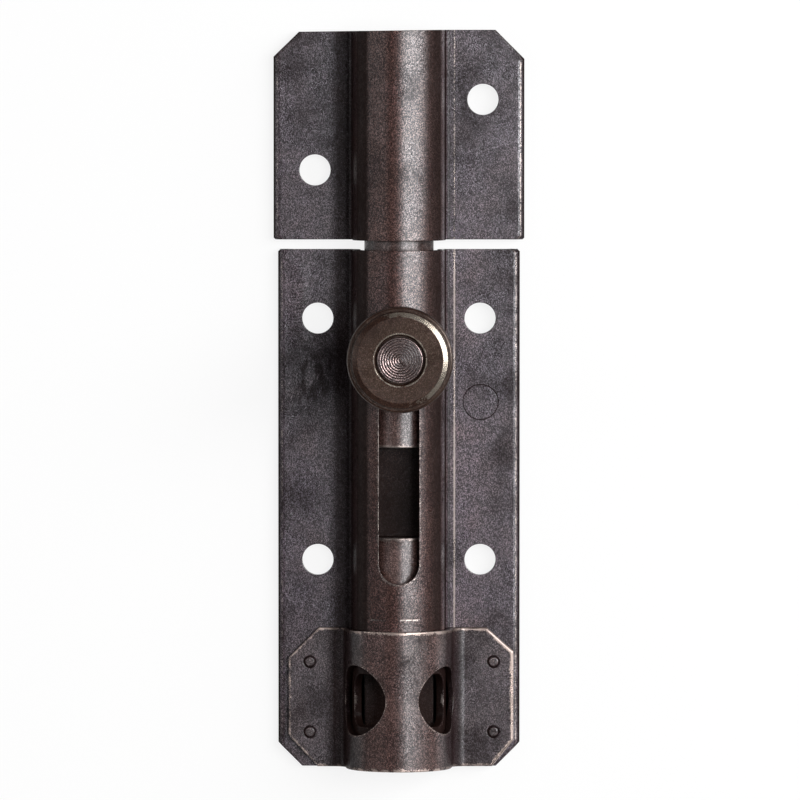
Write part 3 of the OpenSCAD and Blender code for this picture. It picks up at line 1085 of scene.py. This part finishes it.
@dataclass
class Knob(Piece):
    """The turned knob: foot, waist, flare, rim and raised face, sunk for its pin.

    Its shoulder is rubbed, with a painted highlight, where it leans by its own slope, over shoulder_spread
    radians: rubbed all round by the first share of rub_and_highlight, and lit by the second, a painted
    highlight towards the key light at highlight_at.
    """

    rim_h: float = 2.4
    rim_round: float = 0.4
    face_r: float = 6.9
    face_h: float = 1.0
    shoulder: float = 0.75
    shoulder_h: float = 0.27
    waist_r: float = 4.2
    flare: float = 2.55
    foot_r: float = 5.0
    foot_h: float = 1.2
    foot_rounds: tuple[float, float, float] = (0.15, 0.25, 0.15)
    face_rounds: tuple[float, float, float] = (0.12, 0.14, 0.4)
    sink_round: float = 0.06
    bore_round: float = 0.03
    bore_r: float = 2.12
    sink_r: float = 3.5
    sink_depth: float = 1.5
    sink_chamfer: float = 0.25
    lip: float = 0.3
    aside: float = 0.15
    turns: int = 144
    highlight_at: float = math.radians(21)
    shoulder_spread: float = 0.12
    rub_and_highlight: tuple[float, float] = (0.4, 0.6)
    shoulder_worn: float = 1.4
    lip_worn: float = 0.9

    def axis(self) -> tuple[float, float]:
        """Where the knob stands in x and y."""
        low, high = self.box()
        return (low[0] + high[0]) / 2 + self.aside, (low[1] + high[1]) / 2

    def build(self) -> Patchwork:
        """Turns the knob's closed profile, whose shoulder is rubbed, with a painted highlight towards the
        key light.
        """
        low, high = self.box()
        foot, top = low[2], high[2]
        rim = (high[0] - low[0]) / 2
        rim_top = top - self.face_h
        rim_low = rim_top - self.rim_h
        below, above, waist = self.foot_rounds
        inside, edge, shoulder = self.face_rounds
        profile, out = rounded_path([
            (self.bore_r, foot), (self.foot_r, foot, below), (self.foot_r, foot + self.foot_h, above),
            (self.waist_r, foot + self.foot_h, waist), (self.waist_r, rim_low, self.flare),
            (rim, rim_low, self.rim_round), (rim, rim_top, self.rim_round),
            (self.face_r, rim_top, inside), (self.face_r, top - self.shoulder_h, edge),
            (self.face_r - self.shoulder, top, shoulder),
            (self.sink_r + self.sink_chamfer, top, self.sink_round),
            (self.sink_r, top - self.sink_chamfer, self.sink_round),
            (self.sink_r, top - self.sink_depth, self.bore_round),
            (self.bore_r, top - self.sink_depth, self.bore_round), (self.bore_r, foot)], -1)
        inner = self.sink_r + self.sink_chamfer + self.lip
        row = np.flatnonzero((profile[:, 0] < inner) & (profile[:, 1] > rim_top))[0]
        profile = np.insert(profile, row, (inner, top), axis=0)
        out = np.insert(out, row, (0, 1), axis=0)
        lean = np.arctan2(out[:, 0], out[:, 1])
        slope = math.atan2(self.shoulder_h, self.shoulder)
        above_rim = profile[:, 1] > rim_top + inside
        sloping = np.exp(-((lean - slope) / self.shoulder_spread) ** 2) * above_rim
        # Wear all round the shoulder, and a painted highlight on the side towards the key light.
        even, more = self.rub_and_highlight
        rub_and_highlight = even + more * np.cos(all_round(self.turns) - self.highlight_at)
        worn = (self.shoulder_worn * sloping)[:, None] * rub_and_highlight
        sink_edge = slice(row + 1, row + 6)
        worn[sink_edge] = self.lip_worn
        patches = Patchwork()
        revolve(patches, profile, out, self.axis(), self.turns, worn)
        return patches


@dataclass
class KnobPin(Piece):
    """The pin that holds the knob: a shoulder in the slot, a neck, and a turned head on top."""

    spigot_r: float = 2.0
    spigot_h: float = 5.5
    shoulder_r: float = 2.5
    neck_r: float = 2.1
    head_r: float = 3.25
    head_h: float = 1.5
    fillet: float = 0.02
    tip_round: float = 0.2
    shoulder_round: float = 0.05
    edge_round: float = 0.12
    rings: int = 9
    ring_steps: int = 12
    ring_depth: float = 0.024
    edge_worn: float = 0.7

    def build(self, axis: tuple[float, float], knob_low: float) -> Patchwork:
        """Turns the pin's profile, whose head carries shallow rings left by the lathe.

        The head's face dips by the ring depth times sin squared of the rings' count along the
        radius.

        Args:
            axis: Where the pin stands in x and y.
            knob_low: Height of the knob's foot.

        Returns:
            The pin's patches.
        """
        low, high = self.box()
        top = high[2]
        step, head_low = low[2] + self.spigot_h, top - self.head_h
        stem, out = rounded_path([
            (0, low[2]), (self.spigot_r, low[2], self.tip_round), (self.spigot_r, step, self.fillet),
            (self.shoulder_r, step, self.fillet), (self.shoulder_r, knob_low, self.shoulder_round),
            (self.neck_r, knob_low, self.fillet), (self.neck_r, head_low, self.fillet),
            (self.head_r, head_low, self.fillet), (self.head_r, top, self.edge_round), (0, top)], -1)
        stem, out = stem[:-1], out[:-1]
        radius = np.linspace(stem[-1, 0], 0, self.ring_steps * self.rings)[1:]
        phase = np.pi * self.rings * radius / self.head_r
        dip = self.ring_depth * np.sin(phase) ** 2
        slope = -self.ring_depth * np.pi * self.rings / self.head_r * np.sin(2 * phase)
        towards_rim = np.array([1, 1]) / math.hypot(1, 1)
        worn = np.append(self.edge_worn * np.clip(out @ towards_rim, 0, 1) ** 6, np.zeros(len(radius)))
        profile = np.concatenate([stem, columns(radius, top - dip)])
        patches = Patchwork()
        revolve(patches, profile, np.concatenate([out, unit(columns(-slope, 1.0))]), axis,
                worn=worn[:, None])
        return patches


# Shader graphs


@dataclass(frozen=True)
class Wire:
    """The output of a node, which takes part in arithmetic by adding Math nodes."""

    graph: "Graph"
    socket: bpy.types.NodeSocket

    def __add__(self, other: "Wire | float") -> "Wire":
        """Sum."""
        return self.graph.maths("ADD", self, other)

    def __sub__(self, other: "Wire | float") -> "Wire":
        """Difference."""
        return self.graph.maths("SUBTRACT", self, other)

    def __rsub__(self, other: float) -> "Wire":
        """Difference from a number."""
        return self.graph.maths("SUBTRACT", other, self)

    def __mul__(self, other: "Wire | float") -> "Wire":
        """Product."""
        return self.graph.maths("MULTIPLY", self, other)

    def __pow__(self, other: float) -> "Wire":
        """Power."""
        return self.graph.maths("POWER", self, other)

    def __abs__(self) -> "Wire":
        """Size without sign."""
        return self.graph.maths("ABSOLUTE", self)

    __radd__ = __add__
    __rmul__ = __mul__


class Graph:
    """A node tree that is written as expressions."""

    def __init__(self, owner: bpy.types.Material | bpy.types.World) -> None:
        """Empties the owner's tree."""
        owner.use_nodes = True
        self.tree = owner.node_tree
        self.tree.nodes.clear()

    def node(self, kind: str, settings: dict[str, Any] | None = None,
             inputs: dict[Any, Any] | None = None, output: int | str = 0) -> Wire:
        """Adds a node.

        Args:
            kind: The node's type without its ShaderNode prefix.
            settings: Its properties.
            inputs: Values or wires by socket name or number.
            output: The output that is handed back.

        Returns:
            The output.
        """
        made = self.tree.nodes.new("ShaderNode" + kind)
        for name, value in (settings or {}).items():
            setattr(made, name, value)
        for name, value in (inputs or {}).items():
            socket = made.inputs[name]
            if isinstance(value, Wire):
                self.tree.links.new(value.socket, socket)
            elif socket.type == "RGBA" and len(value) == 3:
                socket.default_value = (*value, 1)
            else:
                socket.default_value = value
        return Wire(self, made.outputs[output] if len(made.outputs) else None)

    def maths(self, operation: str, *values: "Wire | float") -> Wire:
        """Adds a Math node."""
        return self.node("Math", {"operation": operation}, dict(enumerate(values)))

    def spot(self, scale: float | tuple[float, float, float] = 1, turn: float = 0,
             centre: tuple[float, float, float] = (0, 0, 0)) -> Wire:
        """The object's coordinates in millimetres from a centre, turned about +Z and stretched."""
        where = self.node("TexCoord", output="Object")
        near = self.node("VectorMath", {"operation": "MULTIPLY_ADD"},
                         {0: where, 1: (1 / MM,) * 3, 2: tuple(-value for value in centre)})
        sizes = (scale,) * 3 if isinstance(scale, (int, float)) else scale
        return self.node("Mapping", {"vector_type": "TEXTURE"},
                         {"Vector": near, "Rotation": (0, 0, turn), "Scale": tuple(1 / v for v in sizes)})

    def axes(self, centre: tuple[float, float, float] = (0, 0, 0)) -> list[Wire]:
        """x, y and z in millimetres from a centre."""
        split = self.node("SeparateXYZ", inputs={0: self.spot(centre=centre)})
        return [Wire(self, output) for output in split.socket.node.outputs]

    def noise(self, where: Wire, scale: float, detail: float = 2, rough: float = 0.5) -> Wire:
        """Soft noise from 0 to 1, with so many waves to a millimetre."""
        return self.node("TexNoise", inputs={"Vector": where, "Scale": scale, "Detail": detail,
                                             "Roughness": rough})

    def step(self, value: Wire, low: float, high: float) -> Wire:
        """Rises smoothly from 0 at low to 1 at high, or falls where high is the lower."""
        return self.node("MapRange", {"interpolation_type": "SMOOTHSTEP"},
                         {"Value": value, "From Min": low, "From Max": high})

    def larger(self, a: Wire, b: Wire) -> Wire:
        """The larger of two values."""
        return self.maths("MAXIMUM", a, b)

    def mix(self, share: "Wire | float", a: Any, b: Any) -> Wire:
        """A colour between two."""
        return self.node("Mix", {"data_type": "RGBA"}, {0: share, 6: a, 7: b}, 2)


# Finishes

Colour = tuple[float, float, float]


@dataclass
class Look:
    """What a finish says about each point of a surface. Height is in millimetres."""

    colour: Wire
    metal: Wire
    rough: Wire
    height: Wire
    coat: Wire
    shade_and_soot: Wire


@dataclass
class Marks:
    """How far marks rub and dirty a surface or darken it with painted shade, how much painted light lifts
    it, and their height in millimetres.
    """

    rubbed: Wire | float = 0.0
    dirt_and_shade: Wire | float = 0.0
    lift: Wire | float = 0.0
    height: Wire | float = 0.0


@dataclass(frozen=True)
class Plating:
    """Burnished oxide plating on steel: dark with a sheen, grained, mottled and rubbed.

    The oxide goes from cool to warm with slow noise and towards the barrel's crown. Each band of
    shade_and_soot is a painted shade beside the barrel, mostly away from the key light: the x at which it
    starts, is full, is full still and ends, and its strength.
    """

    name: str
    cool: Colour
    warm: Colour
    rubbed: Colour
    rough: float
    rub: float = 0.85
    bump: float = 0.015
    contrast: float = 0.85
    shine: float = 0.6
    clouds: float = 0.45
    lines: float = 0.5
    sheen: tuple[float, float, float] = (0.93, 0.96, 1.0)
    shade_and_soot: tuple[tuple[float, float, float, float, float], ...] = ()
    shade_and_soot_colour: Colour = (0.0105, 0.0056, 0.0047)
    shade_and_soot_rough: float = 0.8
    shade_most: float = 0.96
    grain_waves: float = 6.5
    grain_shape: tuple[float, float, float] = (2.0, 1.1, 2.0)
    near_barrel: tuple[float, float] = (7.5, 5.0)
    coat_rough: float = 0.25

    def painted_shading(self, graph: Graph, worn: Wire) -> Wire:
        """How far painted shade darkens the plating, from 0 to 1: where the wear falls below 0, and in the
        bands beside the barrel.
        """
        x = graph.axes()[0]
        dark = graph.step(worn, 0.0, FULL_SHADE) * self.shade_most
        for start, full, still, end, strength in self.shade_and_soot:
            band = graph.step(x, start, full) * graph.step(x, end, still) * strength
            dark = graph.larger(dark, band)
        return dark

    def marks(self, graph: Graph, grain: Wire) -> Marks:
        """What marks the surface: nothing on plain plating."""
        return Marks()

    def look(self, graph: Graph) -> Look:
        """Colour, metal, roughness, height, coat, and the share of a dark shader for grime and painted
        shade, at each point.

        A centre of its own keeps the clouds from following the other noise.
        Fine cells and noise make the grain. It lightens and darkens the oxide, and takes its
        sheen up and down with it. Slow clouds and faint lines along the rolling do the same.
        """
        where = graph.spot(self.grain_shape)
        mottle = graph.noise(graph.spot(), 0.2)
        cloud = graph.noise(graph.spot(centre=(31, 17, 5)), 0.13, detail=3, rough=0.6) - 0.5
        rolled = graph.noise(graph.spot((3.2, 0.05, 3.2)), 1, detail=1) - 0.5
        chip = graph.noise(graph.spot(), 0.9, rough=0.6) - 0.5
        speck = graph.noise(where, self.grain_waves, detail=0)
        cells = graph.node("TexVoronoi", inputs={"Vector": where, "Scale": self.grain_waves},
                           output="Color")
        cell = graph.node("SeparateColor", inputs={0: cells})
        grain = (graph.step(speck, 0.34, 0.74) * 0.6 + cell ** 3 * 1.6 - 0.7) * self.contrast
        marks = self.marks(graph, grain)
        slow = 1 + cloud * 1.5 + rolled * self.lines
        worn = graph.node("Attribute", {"attribute_name": "worn"}, output="Fac")
        bare = graph.step(worn + marks.rubbed + chip * 1.3 + grain * 0.3, 0.55, 1.0) * self.rub
        near = graph.step(abs(graph.axes()[0]), *self.near_barrel)
        warmth = graph.step(mottle * 0.5 + near * 0.45, 0.1, 0.8)
        oxide = graph.mix(warmth, self.cool, self.warm)
        # marks.lift is painted light, which lifts the oxide and its sheen.
        shade = (1 + grain * 1.4) * slow * (marks.lift + 1)
        oxide = graph.node("VectorMath", {"operation": "SCALE"}, {0: oxide, "Scale": shade})
        colour = graph.mix(bare, oxide, self.rubbed)
        dull = graph.step(grain + cloud * 0.6, 0.55, -0.35) * 0.6
        coat = (self.shine + grain * 1.2 + cloud * 2.2 + marks.lift) * (1 - bare)
        rough = self.rough + (mottle - 0.5) * 0.15
        height = speck * self.bump + mottle * 0.04 + marks.height
        veil = graph.step(cloud, 0.02, -0.2) * self.clouds
        # The dark shader takes painted shade from wear below 0 and from the bands, dark clouds, and the
        # marks' dirt and painted shade.
        shade_and_soot = graph.larger(graph.larger(self.painted_shading(graph, worn), veil), (1 - bare) * marks.dirt_and_shade)
        shade_and_soot = 1 - (1 - shade_and_soot) * (1 - dull * (1 - bare))
        return Look(colour, bare, rough, height, coat, shade_and_soot)

    def material(self) -> bpy.types.Material:
        """Makes the material."""
        made = bpy.data.materials.new(self.name)
        graph = Graph(made)
        look = self.look(graph)
        normal = graph.node("Bump", inputs={"Strength": 1.0, "Distance": MM, "Height": look.height})
        shader = graph.node("BsdfPrincipled", inputs={
            "Base Color": look.colour, "Metallic": look.metal, "Roughness": look.rough, "Normal": normal,
            "Specular IOR Level": 1.0, "Specular Tint": (*self.sheen, 1.0),
            "Coat Weight": look.coat, "Coat Roughness": self.coat_rough})
        # A dark shader for soot, grime and painted shade.
        shade_and_soot = graph.node("BsdfPrincipled", inputs={
            "Base Color": self.shade_and_soot_colour, "Roughness": self.shade_and_soot_rough, "Specular IOR Level": 0.0})
        shader = graph.node("MixShader", inputs={0: look.shade_and_soot, 1: shader, 2: shade_and_soot})
        graph.node("OutputMaterial", inputs={"Surface": shader})
        return made


@dataclass(frozen=True)
class PressedPlating(Plating):
    """The plates' plating, with the marks of the press tools, of handling and of rubbing, and painted light
    and shade.

    The marks lie on the body, below body_end, but for the line and the painted light along the barrel's
    foot, which go on over the keeper and are weaker there. A dash of the die line is its middle, its half
    length with and without the soft end, and its strength. Boxes give the low and high x, then y.
    """

    body_end: float = 28.4
    die_y: float = -25.6
    dashes: tuple[tuple[float, float, float, float], ...] = ((1.5, 1.7, 1.0, 1.0), (-3.2, 1.6, 0.8, 0.6))
    foot_x: float = 8.02
    foot_painted_light: float = 0.45
    punch_at: tuple[float, float] = (11.8, 5.34)
    punch_r: float = 2.54
    scratched: tuple[float, float, float, float] = (-16.4, -12.6, 13.0, 26.5)
    # Where the knob's painted shadow falls on the left flange
    knob_shadow_box: tuple[float, float, float, float] = (-16.5, -7.5, 3.5, 14.5)
    # Where the cover hides the barrel, which takes a painted shade
    covered: tuple[float, float, float, float] = (-9.5, 9.5, -45.5, -29.5)

    def box(self, graph: Graph, limits: tuple[float, float, float, float], soft: float) -> Wire:
        """1 inside the limits, falling to 0 over a soft edge."""
        x, y, _ = graph.axes()
        left, right, low, high = limits
        inside = graph.step(x, left, left + soft) * graph.step(x, right, right - soft)
        return inside * graph.step(y, low, low + soft) * graph.step(y, high, high - soft)

    def marks(self, graph: Graph, grain: Wire) -> Marks:
        """A die line across the barrel, a speckled line along the foot, a punch ring, scratches, the knob's
        painted shadow, painted shade under the cover and painted light beside the foot.
        """
        x, y, _ = graph.axes()
        on_body = graph.step(y, self.body_end + 0.3, self.body_end)
        patchy = graph.noise(graph.spot((0.9, 0.3, 0.9), centre=(3, 8, 1)), 1, rough=0.6)
        dashed = sum(graph.step(abs(x - middle), end, full) * strength
                     for middle, end, full, strength in self.dashes)
        die = graph.step(abs(y - self.die_y), 0.2, 0.08) * dashed
        foot = graph.step(abs(x - self.foot_x), 0.19, 0.05) * (on_body * 0.6 + 0.4)
        rubbed = die * (patchy * 2.6 - 0.1 + grain * 0.5) + foot * (patchy * 1.6 + 1.2 + grain * 0.6)
        away = ((x - self.punch_at[0]) ** 2 + (y - self.punch_at[1]) ** 2) ** 0.5
        ring = graph.step(abs(away - self.punch_r), 0.13, 0.03)
        patch = self.box(graph, self.scratched, 1.5)
        scratch = graph.noise(graph.spot((0.5, 3.4, 0.5), turn=0.12), 1, detail=1, rough=0.6)
        # The knob's painted shadow on the left flange, broken up by noise.
        knob_shadow = self.box(graph, self.knob_shadow_box, 3) * graph.step(patchy, 0.65, 0.4) * 0.75
        # Punch ring and scratches are dirt; the knob's shadow and the box under the cover are painted shade.
        dirt_and_shade = ring * 0.85 + graph.step(scratch, 0.5, 0.36) * patch * 0.45 + knob_shadow \
            + self.box(graph, self.covered, 0.5) * 0.92
        # Painted light on the flange to the right of the barrel, towards the key light, weaker on the
        # keeper.
        lift = graph.step(x, 6.7, 7.4) * graph.step(x, 15, 9) * (on_body * 0.5 + 0.5) * self.foot_painted_light
        return Marks(rubbed, dirt_and_shade, lift, scratch * patch * 0.07 - ring * 0.04 - die * 0.03)


@dataclass(frozen=True)
class ChippedPlating(Plating):
    """The cover's plating, chipped along the two sheared edges of its arch."""

    ends: tuple[float, float] = (-47.5, -27.3)
    half: float = 8.4

    def marks(self, graph: Graph, grain: Wire) -> Marks:
        """Ragged chips at both ends of the arch."""
        x, y, _ = graph.axes()
        ragged = graph.noise(graph.spot(centre=(5, 2, 9)), 1.1, detail=3, rough=0.7)
        at_end = graph.step(abs(y - self.ends[0]), 0.7, 0.1) + graph.step(abs(y - self.ends[1]), 0.7, 0.1)
        arch = graph.step(abs(x), self.half + 0.8, self.half)
        return Marks(at_end * arch * (ragged * 6 - 2.8 + grain * 0.4))


@dataclass(frozen=True)
class RingedPlating(Plating):
    """Lathe-turned steel, whose rings stand light and dark round a centre."""

    centre: tuple[float, float] = (0, 0)
    pitch: float = 0.36

    def marks(self, graph: Graph, grain: Wire) -> Marks:
        """Rings that wander a little, rubbed on their crests and dark with grime in their grooves."""
        x, y, _ = graph.axes((*self.centre, 0))
        away = (x * x + y * y) ** 0.5
        stray = graph.noise(graph.spot(), 0.9, detail=1)
        ring = graph.maths("COSINE", (away + stray * 0.15) * (2 * math.pi / self.pitch)) * 0.5 + 0.5
        return Marks(graph.step(ring + grain * 0.3, 0.5, 1.0), graph.step(ring, 0.45, 0.0) * 0.7)


# Studio


@dataclass
class Studio:
    """A pale floor at the door's face, soft light and the photograph's camera, in metres.

    The tunnels, where the floor under a bore takes a painted shade, are in millimetres: the low and high y
    of each, and what they share across x. So is floor_gap, from the door's face down to the floor.
    """

    tunnels: list[tuple[float, float]]
    tunnel_half: float = 5.6
    tunnel_edge: float = 0.4
    tunnel_fade: float = 3.5
    tunnel_grey: float = 0.01
    floor_size: float = 60
    floor_gap: float = 0.01
    floor_grey: float = 0.9
    camera_at: tuple[float, float, float] = (0, 0.0592, 1.150)
    aim: tuple[float, float, float] = (0.00015, 0.00554, 0)
    lens: float = 357
    sensor: float = 36
    sight: float = 200
    key_lean: float = math.radians(40)
    key_distance: float = 0.9
    key_size: tuple[float, float] = (0.42, 1.1)
    key_power: float = 12.0
    lamps_up: float = 0.2
    fill_lean: float = math.radians(-58)
    fill_size: tuple[float, float] = (0.3, 1.0)
    fill_power: float = 1.2
    floor_white: float = 0.85
    horizon: tuple[float, float] = (0.02, 0.1)
    horizon_grey: float = 0.8
    sky_grey: float = 0.15

    def floor(self) -> None:
        """Lays the floor, which shows white to the camera and in the metal and keeps the shadow, with a
        painted shade under the bores.
        """
        half = self.floor_size / 2
        level = -self.floor_gap * MM
        mesh = bpy.data.meshes.new("floor")
        mesh.from_pydata([(-half, -half, level), (half, -half, level), (half, half, level),
                          (-half, half, level)], [], [(0, 1, 2, 3)])
        made = bpy.data.materials.new("pale_floor")
        graph = Graph(made)
        seen = graph.node("LightPath", output="Is Camera Ray") \
            + graph.node("LightPath", output="Is Glossy Ray") \
            + graph.node("LightPath", output="Is Transmission Ray")
        white = graph.node("Emission", inputs={"Color": (1, 1, 1), "Strength": 1.0})
        is_open = self.open_floor(graph)
        # A dark floor under the bores: painted shade.
        dark = graph.node("BsdfDiffuse", inputs={"Color": (self.tunnel_grey,) * 3})
        matt = graph.node("BsdfDiffuse", inputs={"Color": (self.floor_grey,) * 3})
        ground = graph.node("MixShader", inputs={0: is_open, 1: dark, 2: matt})
        whitened = seen * is_open * self.floor_white
        shader = graph.node("MixShader", inputs={0: whitened, 1: ground, 2: white})
        graph.node("OutputMaterial", inputs={"Surface": shader})
        mesh.materials.append(made)
        stand("floor", mesh)

    def open_floor(self, graph: Graph) -> Wire:
        """1 where the floor lies open, and 0 under the barrel and the keeper's arch, where it takes a
        painted shade.
        """
        x, y, _ = graph.axes()
        covered = 1
        for low, high in self.tunnels:
            ends = graph.step(y, low, low + self.tunnel_fade), graph.step(y, high, high - self.tunnel_fade)
            covered = covered * (1 - ends[0] * ends[1])
        within = graph.step(abs(x), self.tunnel_half + self.tunnel_edge, self.tunnel_half)
        return 1 - within * (1 - covered)

    def lamp(self, name: str, lean: float, size: tuple[float, float], power: float) -> None:
        """Hangs a rectangular soft light that leans from overhead by an angle towards +X.

        Both lights hang key_distance off, a little up the bolt.
        """
        light = bpy.data.lights.new(name, "AREA")
        light.shape = "RECTANGLE"
        light.size, light.size_y = size
        light.energy = power
        thing = stand(name, light)
        way = Vector((math.sin(lean), self.lamps_up, math.cos(lean))).normalized()
        thing.location = way * self.key_distance
        thing.rotation_euler = way.to_track_quat("Z", "Y").to_euler()

    def world(self) -> None:
        """Surrounds the scene with even grey light that is whitest at the horizon."""
        made = bpy.data.worlds.new("studio")
        bpy.context.scene.world = made
        graph = Graph(made)
        way = graph.node("TexCoord", output="Generated")
        up = Wire(graph, graph.node("SeparateXYZ", inputs={0: way}).socket.node.outputs[2])
        level = graph.step(up, *self.horizon)
        colour = graph.mix(level, (self.horizon_grey,) * 3, (self.sky_grey,) * 3)
        shader = graph.node("Background", inputs={"Color": colour, "Strength": 1.0})
        graph.node("OutputWorld", inputs={"Surface": shader})

    def camera(self) -> None:
        """Sets the camera over the bolt, from where the photograph was taken."""
        lens = bpy.data.cameras.new("camera")
        lens.lens = self.lens
        lens.sensor_width = self.sensor
        lens.clip_end = self.sight
        thing = stand("camera", lens)
        thing.location = self.camera_at
        back = (Vector(self.camera_at) - Vector(self.aim)).normalized()
        right = Vector((0, 1, 0)).cross(back).normalized()
        axes = Matrix((right, back.cross(right), back)).transposed()
        thing.rotation_euler = axes.to_euler()
        bpy.context.scene.camera = thing

    def build(self) -> None:
        """Builds the whole studio."""
        bpy.context.scene.view_settings.view_transform = "Standard"
        self.floor()
        self.world()
        self.lamp("key", self.key_lean, self.key_size, self.key_power)
        self.lamp("fill", self.fill_lean, self.fill_size, self.fill_power)
        self.camera()


# Bands of painted shade beside the barrel, the cover's arch and the rod: x where each starts, is full, is
# full still and ends, and its strength.
BARREL_SHADE = (
    (-10.6, -8.6, -5.0, -3.6, 0.77), (-6.4, -6.0, -4.8, -3.9, 0.9), (-5.0, -4.0, -1.4, -0.3, 0.32),
    (2.5, 5.5, 5.9, 6.35, 0.86), (6.5, 6.6, 6.74, 6.86, 0.95), (6.92, 7.08, 7.3, 7.45, 0.7))
COVER_SHADE = ((-11.2, -9.4, -6.6, -4.2, 0.7), (5.6, 6.9, 8.8, 9.6, 0.6))
ROD_SHADE = ((-5.3, -5.2, -3.8, -1.6, 0.4), (2.0, 3.2, 5.2, 5.3, 0.6))
COPPER = (0.47, 0.4, 0.37)
PLATE = PressedPlating("black_bronze_plate", (0.06, 0.044, 0.06), (0.08, 0.031, 0.023), COPPER, 0.28,
                       contrast=0.84, shade_and_soot=BARREL_SHADE)
COVER = ChippedPlating("brown_cover_plating", (0.062, 0.044, 0.053), (0.081, 0.037, 0.03),
                       (0.6, 0.48, 0.43), 0.28, contrast=0.72, shine=0.9, shade_and_soot=COVER_SHADE)
RIVET = Plating("rivet_plating", (0.062, 0.042, 0.044), (0.08, 0.042, 0.034), COPPER, 0.3, lines=0)
BOLT = Plating("coppery_bolt", (0.09, 0.053, 0.047), (0.11, 0.06, 0.052), COPPER, 0.28, contrast=0.5,
               shine=1.0, shade_and_soot=ROD_SHADE)
KNOB = Plating("turned_bronze", (0.023, 0.012, 0.009), (0.031, 0.014, 0.009), (0.42, 0.37, 0.31), 0.22,
               contrast=0.4, shine=0.02, lines=0, sheen=(0.7, 0.57, 0.5))


def main() -> None:
    """Builds the pieces on the frame, then the studio."""
    logging.basicConfig(level=logging.INFO, format="%(message)s", stream=sys.stdout)
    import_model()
    body = BodyPlate("barrel_plate", "body_plate", Body.BARREL, Slot.PLATE)
    keeper = Keeper("keeper_plate", "keeper", Body.BARREL, Slot.PLATE)
    cover = PadlockCover("arched_cover", "padlock_cover", Body.BARREL, Slot.COVER)
    rivets = CoverRivets("cover_rivet_set", "cover_rivets", Body.BARREL, Slot.RIVET)
    rod = BoltRod("round_bolt", "bolt_rod", Body.BOLT, Slot.BOLT)
    knob = Knob("turned_knob", "knob", Body.BOLT, Slot.KNOB)
    pin = KnobPin("turned_pin", "knob_pin", Body.BOLT, Slot.PIN)
    axis, places = knob.axis(), rivets.places()
    plate = PLATE.material()
    ringed = RingedPlating("bare_turned_steel", (0.045, 0.027, 0.026), (0.055, 0.03, 0.026),
                           (0.33, 0.24, 0.23), 0.24, contrast=0.6, lines=0, centre=axis)
    body.put(body.build(axis[1], places), plate)
    keeper.put(keeper.build(), plate)
    cover.put(cover.build(places), COVER.material())
    rivets.put(rivets.build(), RIVET.material())
    rod.put(rod.build(float(places[:, 1].mean())), BOLT.material())
    knob.put(knob.build(), KNOB.material())
    pin.put(pin.build(axis, knob.box()[0][2]), ringed.material())
    Studio([tuple(corner[1] for corner in piece.box()) for piece in (body, keeper)]).build()


if __name__ == "__main__":
    main()
